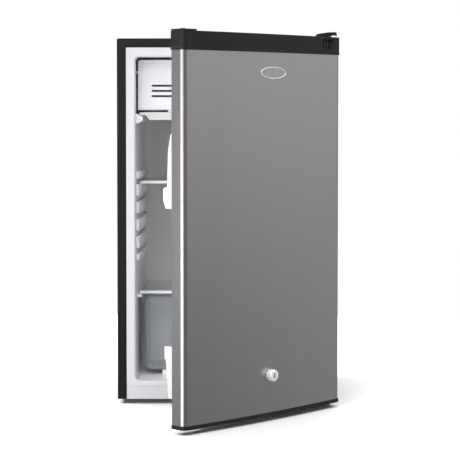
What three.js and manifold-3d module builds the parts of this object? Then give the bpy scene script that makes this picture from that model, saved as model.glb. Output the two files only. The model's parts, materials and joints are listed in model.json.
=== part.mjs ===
// Compact one-door refrigerator with an ice box, standing on four feet with its door ajar.
// Millimetres, +Z up. The cabinet's front plane is y = 0 while it is built and its back is +Y.
// The finished group is moved so that its origin is at the middle of its own footprint, on the floor.
import * as THREE from "three";
import { mergeVertices } from "three/addons/utils/BufferGeometryUtils.js";
import Module from "manifold-3d";

const wasm = await Module();
wasm.setup();

// Driving dimensions
const WIDTH = 488;
const DEPTH = 400; // cabinet without its door
const TOP = 831;
const BASE = 11; // underside of the cabinet and of the door
const SHEET = 1.5;
const FRAME = 20.5; // width of the black front flange
const FIT = 0.3; // gap between pieces that touch
const LINER = 2;
const CAVITY = { half: 203, floor: 53, top: 789, back: 352, corner: 11 };
const HUMP = { y: 226, top: 205 }; // step in the liner above the machine bay
const DOOR = { open: 46, back: -10, edge: -46, crown: 11, corner: 10, bottom: 19.4, top: 791.9 };
const PIN = { x: 232, y: -20 };
const CAP_PROUD = 2; // caps stand proud of the steel by this
const LOCK = { x: 3, z: 100, throw: 8 };
const BADGE = { x: 12, z: 748.5, half: 39, rise: 12.5 };
const RIB = { count: 5, first: 499, pitch: 40, slot: 13, x: 193, nose: 30, front: 66, back: 340 };
const RUNNER = { x: 140, half: 6, front: 62, level: 84, top: 65.4 };
const SHELF = { half: 198, front: 77, back: 344, thick: 4, trim: 6.4 };
const UPPER_SHELF = RIB.first + FIT;
const LOWER_SHELF = 243.5;
const RACK = { half: 190, back: -7.3, wall: 3 };
const FREEZER = { left: -198.4, right: 128, pinY: 46, pinZ: 755, pin: 2, boss: 3.8 };
const FLAP = { low: 664.5, high: 783.5, corner: 7, front: 36, rear: 48, gripLeft: -130, gripRight: 63 };
const ICE_BOX = { left: -190, right: 124, front: 80, back: 335, low: 672, top: 781, wall: 2 };
const THERMOSTAT = { left: 136, right: 200, low: 690, top: 786, front: 40, back: 118, corner: 6 };
const TRAY = { half: 195, shoulder: 180, floor: 172, front: 30, back: 325 };
const TRAY_Z = { low: 646.3, side: 656.8, top: 664 };
const RAIL = { reach: 187, front: 34, low: 643, top: 656.4 };
const BAY = { front: 245, top: 190 }; // machine bay behind and below the hump
const FOOT = { x: 205, front: 84, rear: 362, radius: 15 };
const HINGE_SCREWS = [
  [216, 26],
  [232, 46],
];
const LOWER_SCREWS = [
  [214, 24],
  [232, 48],
];
const COMPRESSOR = { x: -70, y: 322 };
const COIL = { y: DEPTH + 9, reach: 196, runs: 12, low: 232, pitch: 48, radius: 2.6 };
const DIAL = { x: 169, z: 738, radius: 18 };

const half = WIDTH / 2;

// Materials
function finish(color, roughness, metalness, opacity = 1) {
  return new THREE.MeshStandardMaterial({
    color,
    roughness,
    metalness,
    opacity,
    transparent: opacity < 1,
  });
}
const blackSteel = () => finish(0x262728, 0.5, 0.2);
const blackPlastic = () => finish(0x242526, 0.55, 0);
const brushedSteel = () => finish(0x9a9899, 0.34, 1);
const zincSteel = () => finish(0xb5b7ba, 0.4, 1);
const whitePlastic = () => finish(0xeeeef0, 0.35, 0);
const greyPlastic = () => finish(0xd6d6d8, 0.45, 0);
const foam = () => finish(0xe8dcae, 0.95, 0);
const rubber = () => finish(0x3a3a3b, 0.85, 0);
const copper = () => finish(0xb87345, 0.35, 1);
const aluminium = () => finish(0xc4c8cc, 0.4, 1);
const clearPlastic = () => finish(0xe6eef2, 0.1, 0, 0.4);
const glass = () => finish(0xdfeee9, 0.05, 0, 0.35);

// Solid helpers
function solid(geometry) {
  const bare = geometry.clone();
  bare.deleteAttribute("normal");
  bare.deleteAttribute("uv");
  const merged = mergeVertices(bare, 1e-4);
  return new wasm.Manifold(
    new wasm.Mesh({
      numProp: 3,
      vertProperties: new Float32Array(merged.attributes.position.array),
      triVerts: new Uint32Array(merged.index.array),
    }),
  );
}

function geometryOf(body) {
  const mesh = body.getMesh();
  const positions = new Float32Array(mesh.vertProperties);
  const geometry = new THREE.BufferGeometry();
  geometry.setAttribute("position", new THREE.BufferAttribute(positions, 3));
  geometry.setIndex(new THREE.BufferAttribute(new Uint32Array(mesh.triVerts), 1));
  return geometry;
}

function cut(base, ...tools) {
  let body = solid(base);
  for (const tool of tools) body = body.subtract(solid(tool));
  return geometryOf(body);
}

function join(base, ...others) {
  let body = solid(base);
  for (const other of others) body = body.add(solid(other));
  return geometryOf(body);
}

function block(x0, x1, y0, y1, z0, z1) {
  const box = new THREE.BoxGeometry(x1 - x0, y1 - y0, z1 - z0);
  return box.translate((x0 + x1) / 2, (y0 + y1) / 2, (z0 + z1) / 2);
}

function outline(points) {
  return new THREE.Shape(points.map(([a, b]) => new THREE.Vector2(a, b)));
}

function roundedRect(a0, a1, b0, b1, r) {
  const shape = new THREE.Shape();
  shape.moveTo(a0 + r, b0);
  shape.lineTo(a1 - r, b0);
  shape.absarc(a1 - r, b0 + r, r, -Math.PI / 2, 0);
  shape.lineTo(a1, b1 - r);
  shape.absarc(a1 - r, b1 - r, r, 0, Math.PI / 2);
  shape.lineTo(a0 + r, b1);
  shape.absarc(a0 + r, b1 - r, r, Math.PI / 2, Math.PI);
  shape.lineTo(a0, b0 + r);
  shape.absarc(a0 + r, b0 + r, r, Math.PI, 1.5 * Math.PI);
  return shape;
}

function extruded(shape, depth, curveSegments = 4) {
  return new THREE.ExtrudeGeometry(shape, { depth, curveSegments, bevelEnabled: false });
}

// A plan outline (x, y) raised from z0 to z1
function plan(shape, z0, z1, curveSegments) {
  return extruded(shape, z1 - z0, curveSegments).translate(0, 0, z0);
}

// A front outline (x, z) run from y0 back to y1
function elevation(shape, y0, y1, curveSegments) {
  return extruded(shape, y1 - y0, curveSegments).rotateX(Math.PI / 2).translate(0, y1, 0);
}

// A side outline (y, z) run from x0 to x1
function section(points, x0, x1) {
  const turn = new THREE.Matrix4().makeBasis(
    new THREE.Vector3(0, 1, 0),
    new THREE.Vector3(0, 0, 1),
    new THREE.Vector3(1, 0, 0),
  );
  return extruded(outline(points), x1 - x0).applyMatrix4(turn).translate(x0, 0, 0);
}

// A round rod along one axis, centred at (a, b) on the other two in x, y, z order
function rod(axis, radius, from, to, a, b, sides = 20) {
  const bar = new THREE.CylinderGeometry(radius, radius, to - from, sides);
  bar.translate(0, (from + to) / 2, 0);
  if (axis === "z") return bar.rotateX(Math.PI / 2).translate(a, b, 0);
  if (axis === "x") return bar.rotateZ(-Math.PI / 2).translate(0, a, b);
  return bar.translate(a, 0, b);
}

// A turned piece: [radius, height] pairs from bottom to top, closed on its axis
function turned(profile, x, y, sides = 24) {
  const points = profile.map(([r, z]) => new THREE.Vector2(r, z));
  const lathe = new THREE.LatheGeometry(points, sides);
  return lathe.rotateX(Math.PI / 2).translate(x, y, 0);
}

// A line through listed points, sampled exactly at them
class Route extends THREE.Curve {
  constructor(points) {
    super();
    this.points = points;
  }
  getPoint(t) {
    const at = t * (this.points.length - 1);
    const i = Math.min(Math.floor(at), this.points.length - 2);
    return this.points[i].clone().lerp(this.points[i + 1], at - i);
  }
  getPointAt(t) {
    return this.getPoint(t);
  }
  getTangentAt(t) {
    const i = Math.round(t * (this.points.length - 1));
    const before = this.points[Math.max(i - 1, 0)];
    const after = this.points[Math.min(i + 1, this.points.length - 1)];
    return after.clone().sub(before).normalize();
  }
}

// A bent tube through corner points, each corner rounded off
function tube(corners, radius, bend, sides = 8, perBend = 3) {
  const at = corners.map((c) => new THREE.Vector3(...c));
  const route = [at[0]];
  for (let i = 1; i < at.length - 1; i++) {
    const back = at[i - 1].clone().sub(at[i]).normalize().multiplyScalar(bend);
    const on = at[i + 1].clone().sub(at[i]).normalize().multiplyScalar(bend);
    const curve = new THREE.QuadraticBezierCurve3(at[i].clone().add(back), at[i], at[i].clone().add(on));
    route.push(...curve.getPoints(perBend));
  }
  route.push(at[at.length - 1]);
  const ring = new THREE.Shape().absarc(0, 0, radius, 0, 2 * Math.PI);
  return new THREE.ExtrudeGeometry(ring, {
    steps: route.length - 1,
    curveSegments: sides / 2,
    extrudePath: new Route(route),
  });
}

const appliance = new THREE.Group();
const cabinet = new THREE.Group();
const door = new THREE.Group();
appliance.add(cabinet, door);

function piece(parent, name, geometry, material) {
  const mesh = new THREE.Mesh(geometry, material);
  mesh.name = name;
  parent.add(mesh);
}

// ---- Cabinet casing ----

function addCasing() {
  const window = block(-half + FRAME, half - FRAME, -1, 3, 0, TOP - FRAME);
  const hollow = block(-half + SHEET, half - SHEET, SHEET, DEPTH + 1, 0, TOP - SHEET);
  const screwHoles = HINGE_SCREWS.map(([x, y]) => rod("z", 2.4, TOP - 10, TOP + 5, x, y, 12));
  const shell = cut(block(-half, half, 0, DEPTH - FIT, BASE, TOP), hollow, window, ...screwHoles);
  piece(cabinet, "outer_shell", shell, blackSteel());

  const inner = half - SHEET - FIT;
  const lid = block(-inner, inner, DEPTH - 2, DEPTH - 0.8, BAY.top + 5, TOP - SHEET - FIT);
  piece(cabinet, "back_panel", lid, zincSteel());

  const wall = section(
    [
      [BAY.front, BASE + SHEET + FIT],
      [BAY.front + 1.2, BASE + SHEET + FIT],
      [BAY.front + 1.2, BAY.top - 25],
      [BAY.front + 26, BAY.top],
      [DEPTH - 2.3, BAY.top],
      [DEPTH - 2.3, BAY.top + 1.2],
      [BAY.front + 25, BAY.top + 1.2],
      [BAY.front, BAY.top - 24],
    ],
    -inner,
    inner,
  );
  piece(cabinet, "machine_bay_panel", wall, zincSteel());

  const plate = cut(
    block(-inner, inner, 33, DEPTH - 1, BASE, BASE + SHEET),
    ...footSpots().map(([x, y]) => rod("z", 5.4, 0, 20, x, y, 16)),
  );
  const lip = block(-inner, inner, 33, 34.5, BASE + 1, 40);
  piece(cabinet, "base_plate", join(plate, lip), zincSteel());

  const sillHalf = half - FRAME - FIT;
  const sill = cut(
    block(-sillHalf, sillHalf, 0.2, 32.5, BASE, 41),
    block(-sillHalf + 2, sillHalf - 2, 2.4, 40, BASE - 1, 39),
  );
  piece(cabinet, "front_sill", sill, greyPlastic());
}

function ribBlocks() {
  const ranges = [[RIB.first + RIB.slot, RIB.first + RIB.slot + 16]];
  for (let i = 0; i < RIB.count; i++) {
    const top = RIB.first - i * RIB.pitch;
    const height = i === RIB.count - 1 ? 15 : RIB.pitch - RIB.slot;
    ranges.push([top - height, top]);
  }
  ranges.push([LOWER_SHELF - FIT - 9, LOWER_SHELF - FIT]);
  return ranges;
}

function addLiner() {
  const c = CAVITY;
  const hollow = cut(
    elevation(roundedRect(-c.half, c.half, c.floor, c.top, c.corner), -1, c.back),
    block(-300, 300, HUMP.y, 400, 0, HUMP.top),
  );
  const outer = cut(
    elevation(
      roundedRect(-c.half - LINER, c.half + LINER, c.floor - LINER, c.top + LINER, c.corner + LINER),
      0.3,
      c.back + LINER,
    ),
    block(-300, 300, HUMP.y + LINER, 400, 0, HUMP.top - LINER),
  );
  const flangeHalf = half - FRAME - FIT;
  const flange = block(-flangeHalf, flangeHalf, 0.3, 2.3, 41.3, TOP - FRAME - FIT);
  const shell = cut(join(outer, flange), hollow);
  const ribs = [];
  for (const side of [-1, 1]) {
    const wall = side * (c.half + 0.5);
    const span = (reach) => [Math.min(wall, side * reach), Math.max(wall, side * reach)];
    const ribPlan = [
      [wall, RIB.nose],
      [side * RIB.x, RIB.front],
      [side * RIB.x, RIB.back],
      [wall, RIB.back],
    ];
    for (const [z0, z1] of ribBlocks()) ribs.push(plan(outline(ribPlan), z0, z1));
    ribs.push(block(...span(RAIL.reach), RAIL.front, RIB.back, RAIL.low, RAIL.top)); // drip tray's rail
    const runner = side * RUNNER.x;
    const ramp = [
      [RUNNER.front, c.floor - 0.5],
      [RUNNER.front, c.floor + 1.5],
      [RUNNER.level, RUNNER.top],
      [HUMP.y + 1, RUNNER.top],
      [HUMP.y + 1, c.floor - 0.5],
    ];
    ribs.push(section(ramp, runner - RUNNER.half, runner + RUNNER.half)); // crisper runner
  }
  const socket = cut(
    rod("x", FREEZER.boss, -c.half - 0.5, FREEZER.left - 0.9, FREEZER.pinY, FREEZER.pinZ, 20),
    rod("x", FREEZER.pin + 0.5, -c.half + 0.2, -190, FREEZER.pinY, FREEZER.pinZ, 12),
  );
  const wireHole = rod("x", 3, c.half - 1, c.half + 8, 120, 700, 10); // thermostat's sensing tube
  piece(cabinet, "inner_liner", cut(join(shell, ...ribs, socket), wireHole), whitePlastic());

  const full = block(-half + 2, half - 2, 2.8, DEPTH - 2.5, 41.6, TOP - 2);
  const bay = block(-300, 300, BAY.front - FIT, DEPTH + 1, 0, BAY.top + 1.6);
  const slope = section(
    [
      [BAY.front - 1, BAY.top - 24.5],
      [BAY.front + 25, BAY.top + 2],
      [BAY.front - 1, BAY.top + 2],
    ],
    -300,
    300,
  );
  const room = cut(
    elevation(
      roundedRect(
        -c.half - LINER - FIT,
        c.half + LINER + FIT,
        c.floor - LINER - FIT,
        c.top + LINER + FIT,
        c.corner + LINER,
      ),
      0,
      c.back + LINER + FIT,
    ),
    block(-300, 300, HUMP.y + LINER + FIT, 400, 0, HUMP.top - LINER - FIT),
  );
  const bayCut = cut(bay, slope);
  const screwHoles = HINGE_SCREWS.map(([x, y]) => rod("z", 2.6, TOP - 24, TOP + 5, x, y, 12));
  const lipGap = block(-300, 300, 32.2, 35, 0, 60);
  const body = cut(full, bayCut, room, lipGap, ...screwHoles);
  piece(cabinet, "cabinet_foam", largest(body), foam());
}

// The biggest of the bodies that a cut leaves
function largest(geometry) {
  const bodies = solid(geometry).decompose();
  bodies.sort((a, b) => b.volume() - a.volume());
  return geometryOf(bodies[0]);
}

// ---- Feet ----

function footSpots() {
  const spots = [];
  for (const y of [FOOT.front, FOOT.rear]) for (const x of [-FOOT.x, FOOT.x]) spots.push([x, y]);
  return spots;
}

function addFeet() {
  const names = ["front_foot_left", "front_foot_right", "rear_foot_left", "rear_foot_right"];
  footSpots().forEach(([x, y], i) => {
    const pad = turned(
      [
        [0, 0],
        [FOOT.radius - 2, 0],
        [FOOT.radius, 2],
        [FOOT.radius, 7.5],
        [FOOT.radius - 2, 10.6],
        [5, 10.6],
        [5, 24],
        [0, 24],
      ],
      x,
      y,
      12,
    );
    piece(cabinet, names[i], pad, blackPlastic());
  });
}

// ---- Cooling system ----

function addCooling() {
  const { x: cx, y: cy } = COMPRESSOR;
  const mount = cut(
    block(cx - 95, cx + 95, cy - 55, cy + 55, 22, 24.5),
    rod("z", 20, 10, 40, cx, cy, 16),
  );
  const feet = [];
  for (const dx of [-80, 80])
    for (const dy of [-40, 40]) feet.push(rod("z", 9, BASE + SHEET + FIT, 22.5, cx + dx, cy + dy, 12));
  piece(cabinet, "compressor_mount", join(mount, ...feet), rubber());

  const dome = turned(
    [
      [0, 25],
      [48, 25],
      [58, 34],
      [62, 60],
      [62, 84],
      [65, 86],
      [65, 91],
      [62, 93],
      [60, 122],
      [46, 143],
      [20, 150],
      [0, 151],
    ],
    cx,
    cy,
    28,
  );
  piece(cabinet, "compressor", dome, blackSteel());

  const relay = elevation(roundedRect(cx + 67, cx + 103, 52, 112, 5), cy - 26, cy + 26);
  piece(cabinet, "start_relay_box", relay, blackPlastic());

  const pan = cut(
    block(cx - 62, cx + 62, cy - 52, cy + 52, 153, 176),
    block(cx - 60, cx + 60, cy - 50, cy + 50, 155, 180),
  );
  piece(cabinet, "evaporation_tray", pan, greyPlastic());

  const { y: plane, reach, runs, low, pitch } = COIL;
  const corners = [
    [reach - 20, plane, 196],
    [reach, plane, 206],
  ];
  for (let i = 0; i < runs; i++) {
    const side = i % 2 ? -reach : reach;
    corners.push([side, plane, low + i * pitch]);
    corners.push([-side, plane, low + i * pitch]);
  }
  const coil = tube(corners, COIL.radius, 14, 6, 3);
  piece(cabinet, "condenser_coil", coil, blackSteel());
  for (const [side, name] of [
    [-1, "condenser_bracket_left"],
    [1, "condenser_bracket_right"],
  ]) {
    const x = side * 150;
    const strap = block(x - 6, x + 6, plane - 4.4, plane - 2.9, 222, 772);
    const pads = [250, 500, 750].map((z) => block(x - 6, x + 6, DEPTH - 0.5, plane - 3.5, z - 8, z + 8));
    piece(cabinet, name, join(strap, ...pads), blackSteel());
  }

  const drier = turned(
    [
      [0, 60],
      [3, 60],
      [4, 66],
      [9.5, 76],
      [9.5, 140],
      [4, 150],
      [3, 156],
      [0, 156],
    ],
    150,
    355,
    16,
  );
  piece(cabinet, "filter_drier", drier, copper());

  const hot = [
    [cx + 40, cy + 51, 118],
    [cx + 40, 388, 118],
    [120, 388, 118],
    [COIL.reach - 20, 388, 118],
    [COIL.reach - 20, plane, 130],
    [COIL.reach - 20, plane, 192.5],
  ];
  piece(cabinet, "discharge_pipe", tube(hot, COIL.radius, 10, 6), copper());
  const cold = [
    [cx - 40, cy + 51, 100],
    [cx - 40, 385, 100],
    [-178, 385, 100],
    [-178, 385, 189.4],
  ];
  piece(cabinet, "suction_pipe", tube(cold, 3.4, 9, 6), copper());

  const gland = turned(
    [
      [0, 0],
      [9, 0],
      [9, 3],
      [6.5, 3],
      [5, 20],
      [0, 20],
    ],
    0,
    0,
    14,
  );
  gland.rotateX(Math.PI / 2).rotateZ(Math.PI).translate(205, DEPTH - 22, 60);
  const plate = block(186, 224, DEPTH - 25, DEPTH - 22.3, 30, 150);
  piece(cabinet, "terminal_plate", plate, zincSteel());
  piece(cabinet, "mains_cable_gland", gland, blackPlastic());
}

// ---- Ice box, thermostat and drip tray ----

function addIceBox() {
  const i = ICE_BOX;
  const box = cut(
    block(i.left, i.right, i.front, i.back, i.low, i.top),
    block(i.left + i.wall, i.right - i.wall, i.front - 1, i.back - i.wall, i.low + i.wall, i.top - i.wall),
  );
  piece(cabinet, "freezer_box", box, aluminium());

  const t = THERMOSTAT;
  const shell = elevation(roundedRect(t.left, t.right, t.low, t.top, t.corner), t.front, t.back);
  const socket = rod("x", FREEZER.pin + 0.5, 133, 141, FREEZER.pinY, FREEZER.pinZ, 12);
  const dialHole = rod("y", 4.4, 30, 62, DIAL.x, DIAL.z, 14);
  const pocket = block(t.left + 6, t.right - 6, t.front + 24, t.back + 2, t.low + 6, t.top - 6);
  piece(cabinet, "thermostat_housing", cut(shell, socket, dialHole, pocket), whitePlastic());

  const skirt = rod("y", DIAL.radius, 28, 39.5, DIAL.x, DIAL.z, 28);
  const grip = block(DIAL.x - 3, DIAL.x + 3, 20, 29, DIAL.z - 16, DIAL.z + 16);
  const stem = rod("y", 4, 39, 60, DIAL.x, DIAL.z, 14);
  const pointer = block(DIAL.x - 0.6, DIAL.x + 0.6, 27.4, 29, DIAL.z + 14, DIAL.z + 17.5);
  piece(cabinet, "thermostat_knob", join(skirt, grip, stem, pointer), greyPlastic());
  piece(cabinet, "thermostat_body", block(156, 182, 66, 90, 722, 756), zincSteel());

  const { low, high, corner, front, rear, gripLeft, gripRight } = FLAP;
  const face = elevation(roundedRect(FREEZER.left, FREEZER.right, low, high, corner), front, rear);
  const hollow = block(FREEZER.left + 3, FREEZER.right - 3, front + 3, rear + 1, 672, 780.5);
  const grips = [
    block(FREEZER.left - 1, gripLeft, front - 1, rear + 1, 660, 669),
    block(gripRight, FREEZER.right + 1, front - 1, rear + 1, 660, 669),
  ];
  const slots = [];
  for (const [x0, x1] of [
    [-167, -62],
    [-5, 100],
  ])
    for (const z of [724.6, 712.7, 700.8])
      slots.push(elevation(roundedRect(x0, x1, z - 2.3, z + 2.3, 2.2), front - 1, rear, 3));
  const panel = cut(face, hollow, ...grips, ...slots);
  const pins = [
    rod("x", FREEZER.pin, -202.4, FREEZER.left + 3, FREEZER.pinY, FREEZER.pinZ, 12),
    rod("x", FREEZER.pin, FREEZER.right - 3, 139.5, FREEZER.pinY, FREEZER.pinZ, 12),
  ];
  piece(cabinet, "freezer_flap", join(panel, ...pins), whitePlastic());

  const tray = cut(
    elevation(
      outline([
        [-TRAY.half, TRAY_Z.top],
        [-TRAY.half, TRAY_Z.side],
        [-TRAY.shoulder, TRAY_Z.side],
        [-TRAY.floor, TRAY_Z.low],
        [TRAY.floor, TRAY_Z.low],
        [TRAY.shoulder, TRAY_Z.side],
        [TRAY.half, TRAY_Z.side],
        [TRAY.half, TRAY_Z.top],
      ]),
      TRAY.front,
      TRAY.back,
    ),
    elevation(
      outline([
        [-TRAY.shoulder + 2, TRAY_Z.top + 1],
        [-TRAY.floor + 1.5, TRAY_Z.low + 2.1],
        [TRAY.floor - 1.5, TRAY_Z.low + 2.1],
        [TRAY.shoulder - 2, TRAY_Z.top + 1],
      ]),
      TRAY.front + 3,
      TRAY.back - 3,
    ),
  );
  piece(cabinet, "drip_tray", tray, whitePlastic());
}

// ---- Shelves and crisper ----

function addShelf(name, z) {
  const s = SHELF;
  const pane = block(-s.half, s.half, s.front + 5, s.back, z + 0.2, z + 0.2 + s.thick);
  piece(cabinet, name + "_glass", pane, glass());
  const groove = block(-300, 300, s.front + 4.6, s.front + 20, z - 0.1, z + 0.2 + s.thick + FIT);
  const bar = block(-s.half, s.half, s.front, s.front + 13, z, z + s.trim);
  piece(cabinet, name + "_trim", cut(bar, groove), whitePlastic());
}

function addCrisper() {
  const body = cut(
    plan(roundedRect(-187, 187, 80, 220, 10), 65.8, 236),
    plan(roundedRect(-184.5, 184.5, 82.5, 217.5, 8), 68.3, 240),
  );
  const handle = block(-60, 60, 71, 80.5, 222, 225);
  const lip = block(-60, 60, 71, 73, 214, 225);
  piece(cabinet, "crisper_drawer", join(body, handle, lip), clearPlastic());
}

// ---- Door ----

// Front edge of the door seen from above: a shallow crown with rounded corners.
// grow moves the whole line outward.
function doorPlan(grow, back) {
  const w = half + grow;
  const r = DOOR.corner + grow;
  const crownAt = (x) => DOOR.edge - grow - DOOR.crown * (1 - (x / half) ** 2);
  const last = (85 * Math.PI) / 180;
  const endX = w - r + r * Math.cos(last);
  const centreY = crownAt(endX) + r * Math.sin(last);
  const right = [];
  for (let i = 0; i <= 6; i++) {
    const a = (last * i) / 6;
    right.push([w - r + r * Math.cos(a), centreY - r * Math.sin(a)]);
  }
  const front = [];
  const spans = 20;
  for (let i = 1; i < spans; i++) {
    const x = endX * (1 - (2 * i) / spans);
    front.push([x, crownAt(x)]);
  }
  const left = right.map(([x, y]) => [-x, y]).reverse();
  return outline([[w, back], ...right, ...front, ...left, [-w, back]]);
}

function addDoorSkin() {
  const { back, bottom, top } = DOOR;
  const skin = cut(
    plan(doorPlan(0, back - FIT), bottom, top),
    plan(doorPlan(-1, back - 1.3), bottom - 1, top + 1),
    block(-half + 9, half - 9, back - 5, back + 5, bottom - 1, top + 1),
    rod("y", 9.4, -70, -40, LOCK.x, LOCK.z, 24),
  );
  piece(door, "door_steel_panel", skin, brushedSteel());

  const shell = cut(
    plan(doorPlan(CAP_PROUD, back - FIT), top + FIT, TOP),
    plan(doorPlan(CAP_PROUD - 3, back - 3), top - 1, TOP - 3),
  );
  const band = cut(
    plan(doorPlan(CAP_PROUD + 0.6, back - FIT), top + FIT, top + 4.6),
    plan(doorPlan(CAP_PROUD - 2, back - 2), top - 1, top + 6),
  );
  const scoop = plan(
    outline([
      [178, -70],
      [220, -70],
      [220, -42],
      [212, -43.5],
      [178, -52.6],
    ]),
    804,
    826,
  );
  const scoopWall = plan(
    outline([
      [174, -51],
      [178, -50.6],
      [213, -41.2],
      [222.5, -40],
      [222.5, -48],
      [174, -53],
    ]),
    801.5,
    828.5,
  );
  const backed = cut(join(shell, band, scoopWall), scoop);
  const boss = rod("z", 9.6, 806, TOP - 1, PIN.x, PIN.y, 24);
  const bore = rod("z", 7.4, 800, TOP + 1, PIN.x, PIN.y, 24);
  const plugHoles = rod("z", 5, TOP - 8, TOP + 1, -PIN.x, PIN.y, 16);
  piece(door, "door_top_cap", cut(join(backed, boss), bore, plugHoles), blackPlastic());

  const plugPlan = plan(doorPlan(CAP_PROUD - 0.8, back - FIT), TOP + FIT, TOP + 3.6);
  const plugTop = cut(plugPlan, block(-209, 300, -100, 0, TOP, TOP + 9));
  const bump = turned(
    [
      [0, TOP + 3],
      [7, TOP + 3],
      [5.5, TOP + 5.2],
      [0, TOP + 5.6],
    ],
    -PIN.x,
    -32,
    16,
  );
  const stalk = rod("z", 4.6, TOP - 6, TOP + 1, -PIN.x, PIN.y, 16);
  piece(door, "cap_blank_plug", join(plugTop, bump, stalk), blackPlastic());

  const foot = cut(
    plan(doorPlan(CAP_PROUD, back - FIT), BASE, bottom - FIT),
    rod("z", 6.4, 0, 40, PIN.x, PIN.y, 20),
    block(LOCK.x - 4.5, LOCK.x + 4.5, -25.5, -19.5, 0, 40),
  );
  piece(door, "door_bottom_cap", foot, blackPlastic());
}

function addDoorInside() {
  const { back, bottom, top } = DOOR;
  const core = cut(
    plan(doorPlan(-1.4, back - 1.8), bottom + 0.3, top - 0.3),
    rod("y", 9.6, -70, -20, LOCK.x, LOCK.z, 20),
    block(LOCK.x - 14, LOCK.x + 22, -29.6, -16.5, 0, 116),
  );
  piece(door, "door_foam", core, foam());

  const plate = elevation(roundedRect(-239, 239, 16, 826, 8), back, back + 2.4);
  const dykes = [];
  for (const side of [-1, 1]) {
    const x0 = Math.min(side * 191.5, side * 199.5);
    const profile = [
      [back + 1, 57],
      [18, 65],
      [25, 77],
      [25, 606],
      [16, 622],
      [back + 1, 632],
    ];
    dykes.push(section(profile, x0, x0 + 8));
  }
  piece(door, "door_liner", join(plate, ...dykes), whitePlastic());

  const seal = cut(
    elevation(roundedRect(-235, 235, 22, 819, 10), back + 2.4 + FIT, -0.6),
    elevation(roundedRect(-223, 223, 35, 806, 5), -20, 5),
  );
  piece(door, "door_gasket", seal, greyPlastic());
}

function rack(profile, front) {
  const w = RACK.wall;
  const outer = section(profile, -RACK.half, RACK.half);
  return { outer, hollow: section(front, -RACK.half + w, RACK.half - w) };
}

function addRacks() {
  const b = RACK.back;
  const tall = rack(
    [
      [b, 460.8],
      [65.7, 460.8],
      [67.5, 465],
      [73, 478],
      [73, 504],
      [61.5, 507.4],
      [58, 585],
      [50.3, 619],
      [b, 619],
    ],
    [
      [b + 2, 463.8],
      [63.4, 463.8],
      [64.6, 466],
      [70, 479],
      [70, 700],
      [b + 2, 700],
    ],
  );
  const gap = section(
    [
      [40, 504.2],
      [90, 504.2],
      [90, 700],
      [40, 700],
    ],
    -RACK.half + RACK.wall,
    RACK.half - RACK.wall,
  );
  piece(door, "upper_door_rack", cut(tall.outer, tall.hollow, gap), clearPlastic());

  const deep = rack(
    [
      [b, 58.7],
      [59.4, 58.7],
      [59.5, 68],
      [65.9, 140.6],
      [70, 140.6],
      [70, 168.7],
      [b, 168.7],
    ],
    [
      [b + 2, 61.7],
      [56.4, 61.7],
      [56.5, 68.2],
      [63, 142.6],
      [67, 143.6],
      [67, 200],
      [b + 2, 200],
    ],
  );
  piece(door, "lower_door_rack", cut(deep.outer, deep.hollow), clearPlastic());
}

function addLock() {
  const face = DOOR.edge - DOOR.crown; // steel surface at the lock
  const ring = new THREE.LatheGeometry(
    [
      [6.2, -face - 30],
      [9, -face - 30],
      [9, -face + FIT],
      [13, -face + FIT],
      [13, -face + 10.5],
      [11, -face + 14],
      [6.2, -face + 14],
      [6.2, -face - 30],
    ].map(([r, y]) => new THREE.Vector2(r, y)),
    28,
  );
  ring.scale(1, -1, 1).translate(LOCK.x, 0, LOCK.z);
  piece(door, "lock_barrel", flipped(ring), zincSteel());

  const plugBody = rod("y", 5.8, face - 14.5, face + 30.5, LOCK.x, LOCK.z, 24);
  const keyway = block(LOCK.x - 0.8, LOCK.x + 0.8, face - 20, face - 4, LOCK.z - 4, LOCK.z + 4);
  piece(door, "lock_plug", cut(plugBody, keyway), zincSteel());

  const discY = face + 30.5 + FIT;
  const disc = rod("y", 11, discY, discY + 2.5, LOCK.x, LOCK.z, 24);
  const crank = rod("y", 1.5, discY + 2, discY + 8, LOCK.x + LOCK.throw, LOCK.z, 12);
  piece(door, "lock_cam", join(disc, crank), zincSteel());

  const headY = discY + 3.6;
  const head = cut(
    block(LOCK.x - 6, LOCK.x + 16, headY, headY + 2.5, LOCK.z - 8, LOCK.z + 8),
    block(LOCK.x - 3, LOCK.x + 12, headY - 1, headY + 4, LOCK.z - 3.6, LOCK.z + 3.6),
  );
  const stem = block(LOCK.x - 3, LOCK.x + 3, headY, headY + 2.5, BASE + 1.5, LOCK.z - 7);
  piece(door, "lock_bolt", join(head, stem), zincSteel());

  const oval = new THREE.Shape().absellipse(BADGE.x, BADGE.z, BADGE.half, BADGE.rise, 0, 2 * Math.PI);
  const crownHere = face + (DOOR.crown * (BADGE.x + BADGE.half) ** 2) / half ** 2;
  const plate = elevation(oval, crownHere - 2.4, face + 6, 14);
  const front = plan(doorPlan(FIT, DOOR.back), 700, 800);
  piece(door, "badge_plate", cut(plate, front), brushedSteel());
}

// Reverses the winding of a mirrored geometry
function flipped(geometry) {
  const index = geometry.index.array;
  for (let i = 0; i < index.length; i += 3) {
    const keep = index[i];
    index[i] = index[i + 1];
    index[i + 1] = keep;
  }
  return geometry;
}

// ---- Hinges ----

function screw(x, y, seat, length) {
  const profile = [
    [0, -length],
    [2, -length],
    [2, 0],
    [4.2, 0],
    [4, 1.4],
    [2.6, 2.2],
    [0, 2.2],
  ];
  return turned(profile, x, y, 12).translate(0, 0, seat);
}

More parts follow.
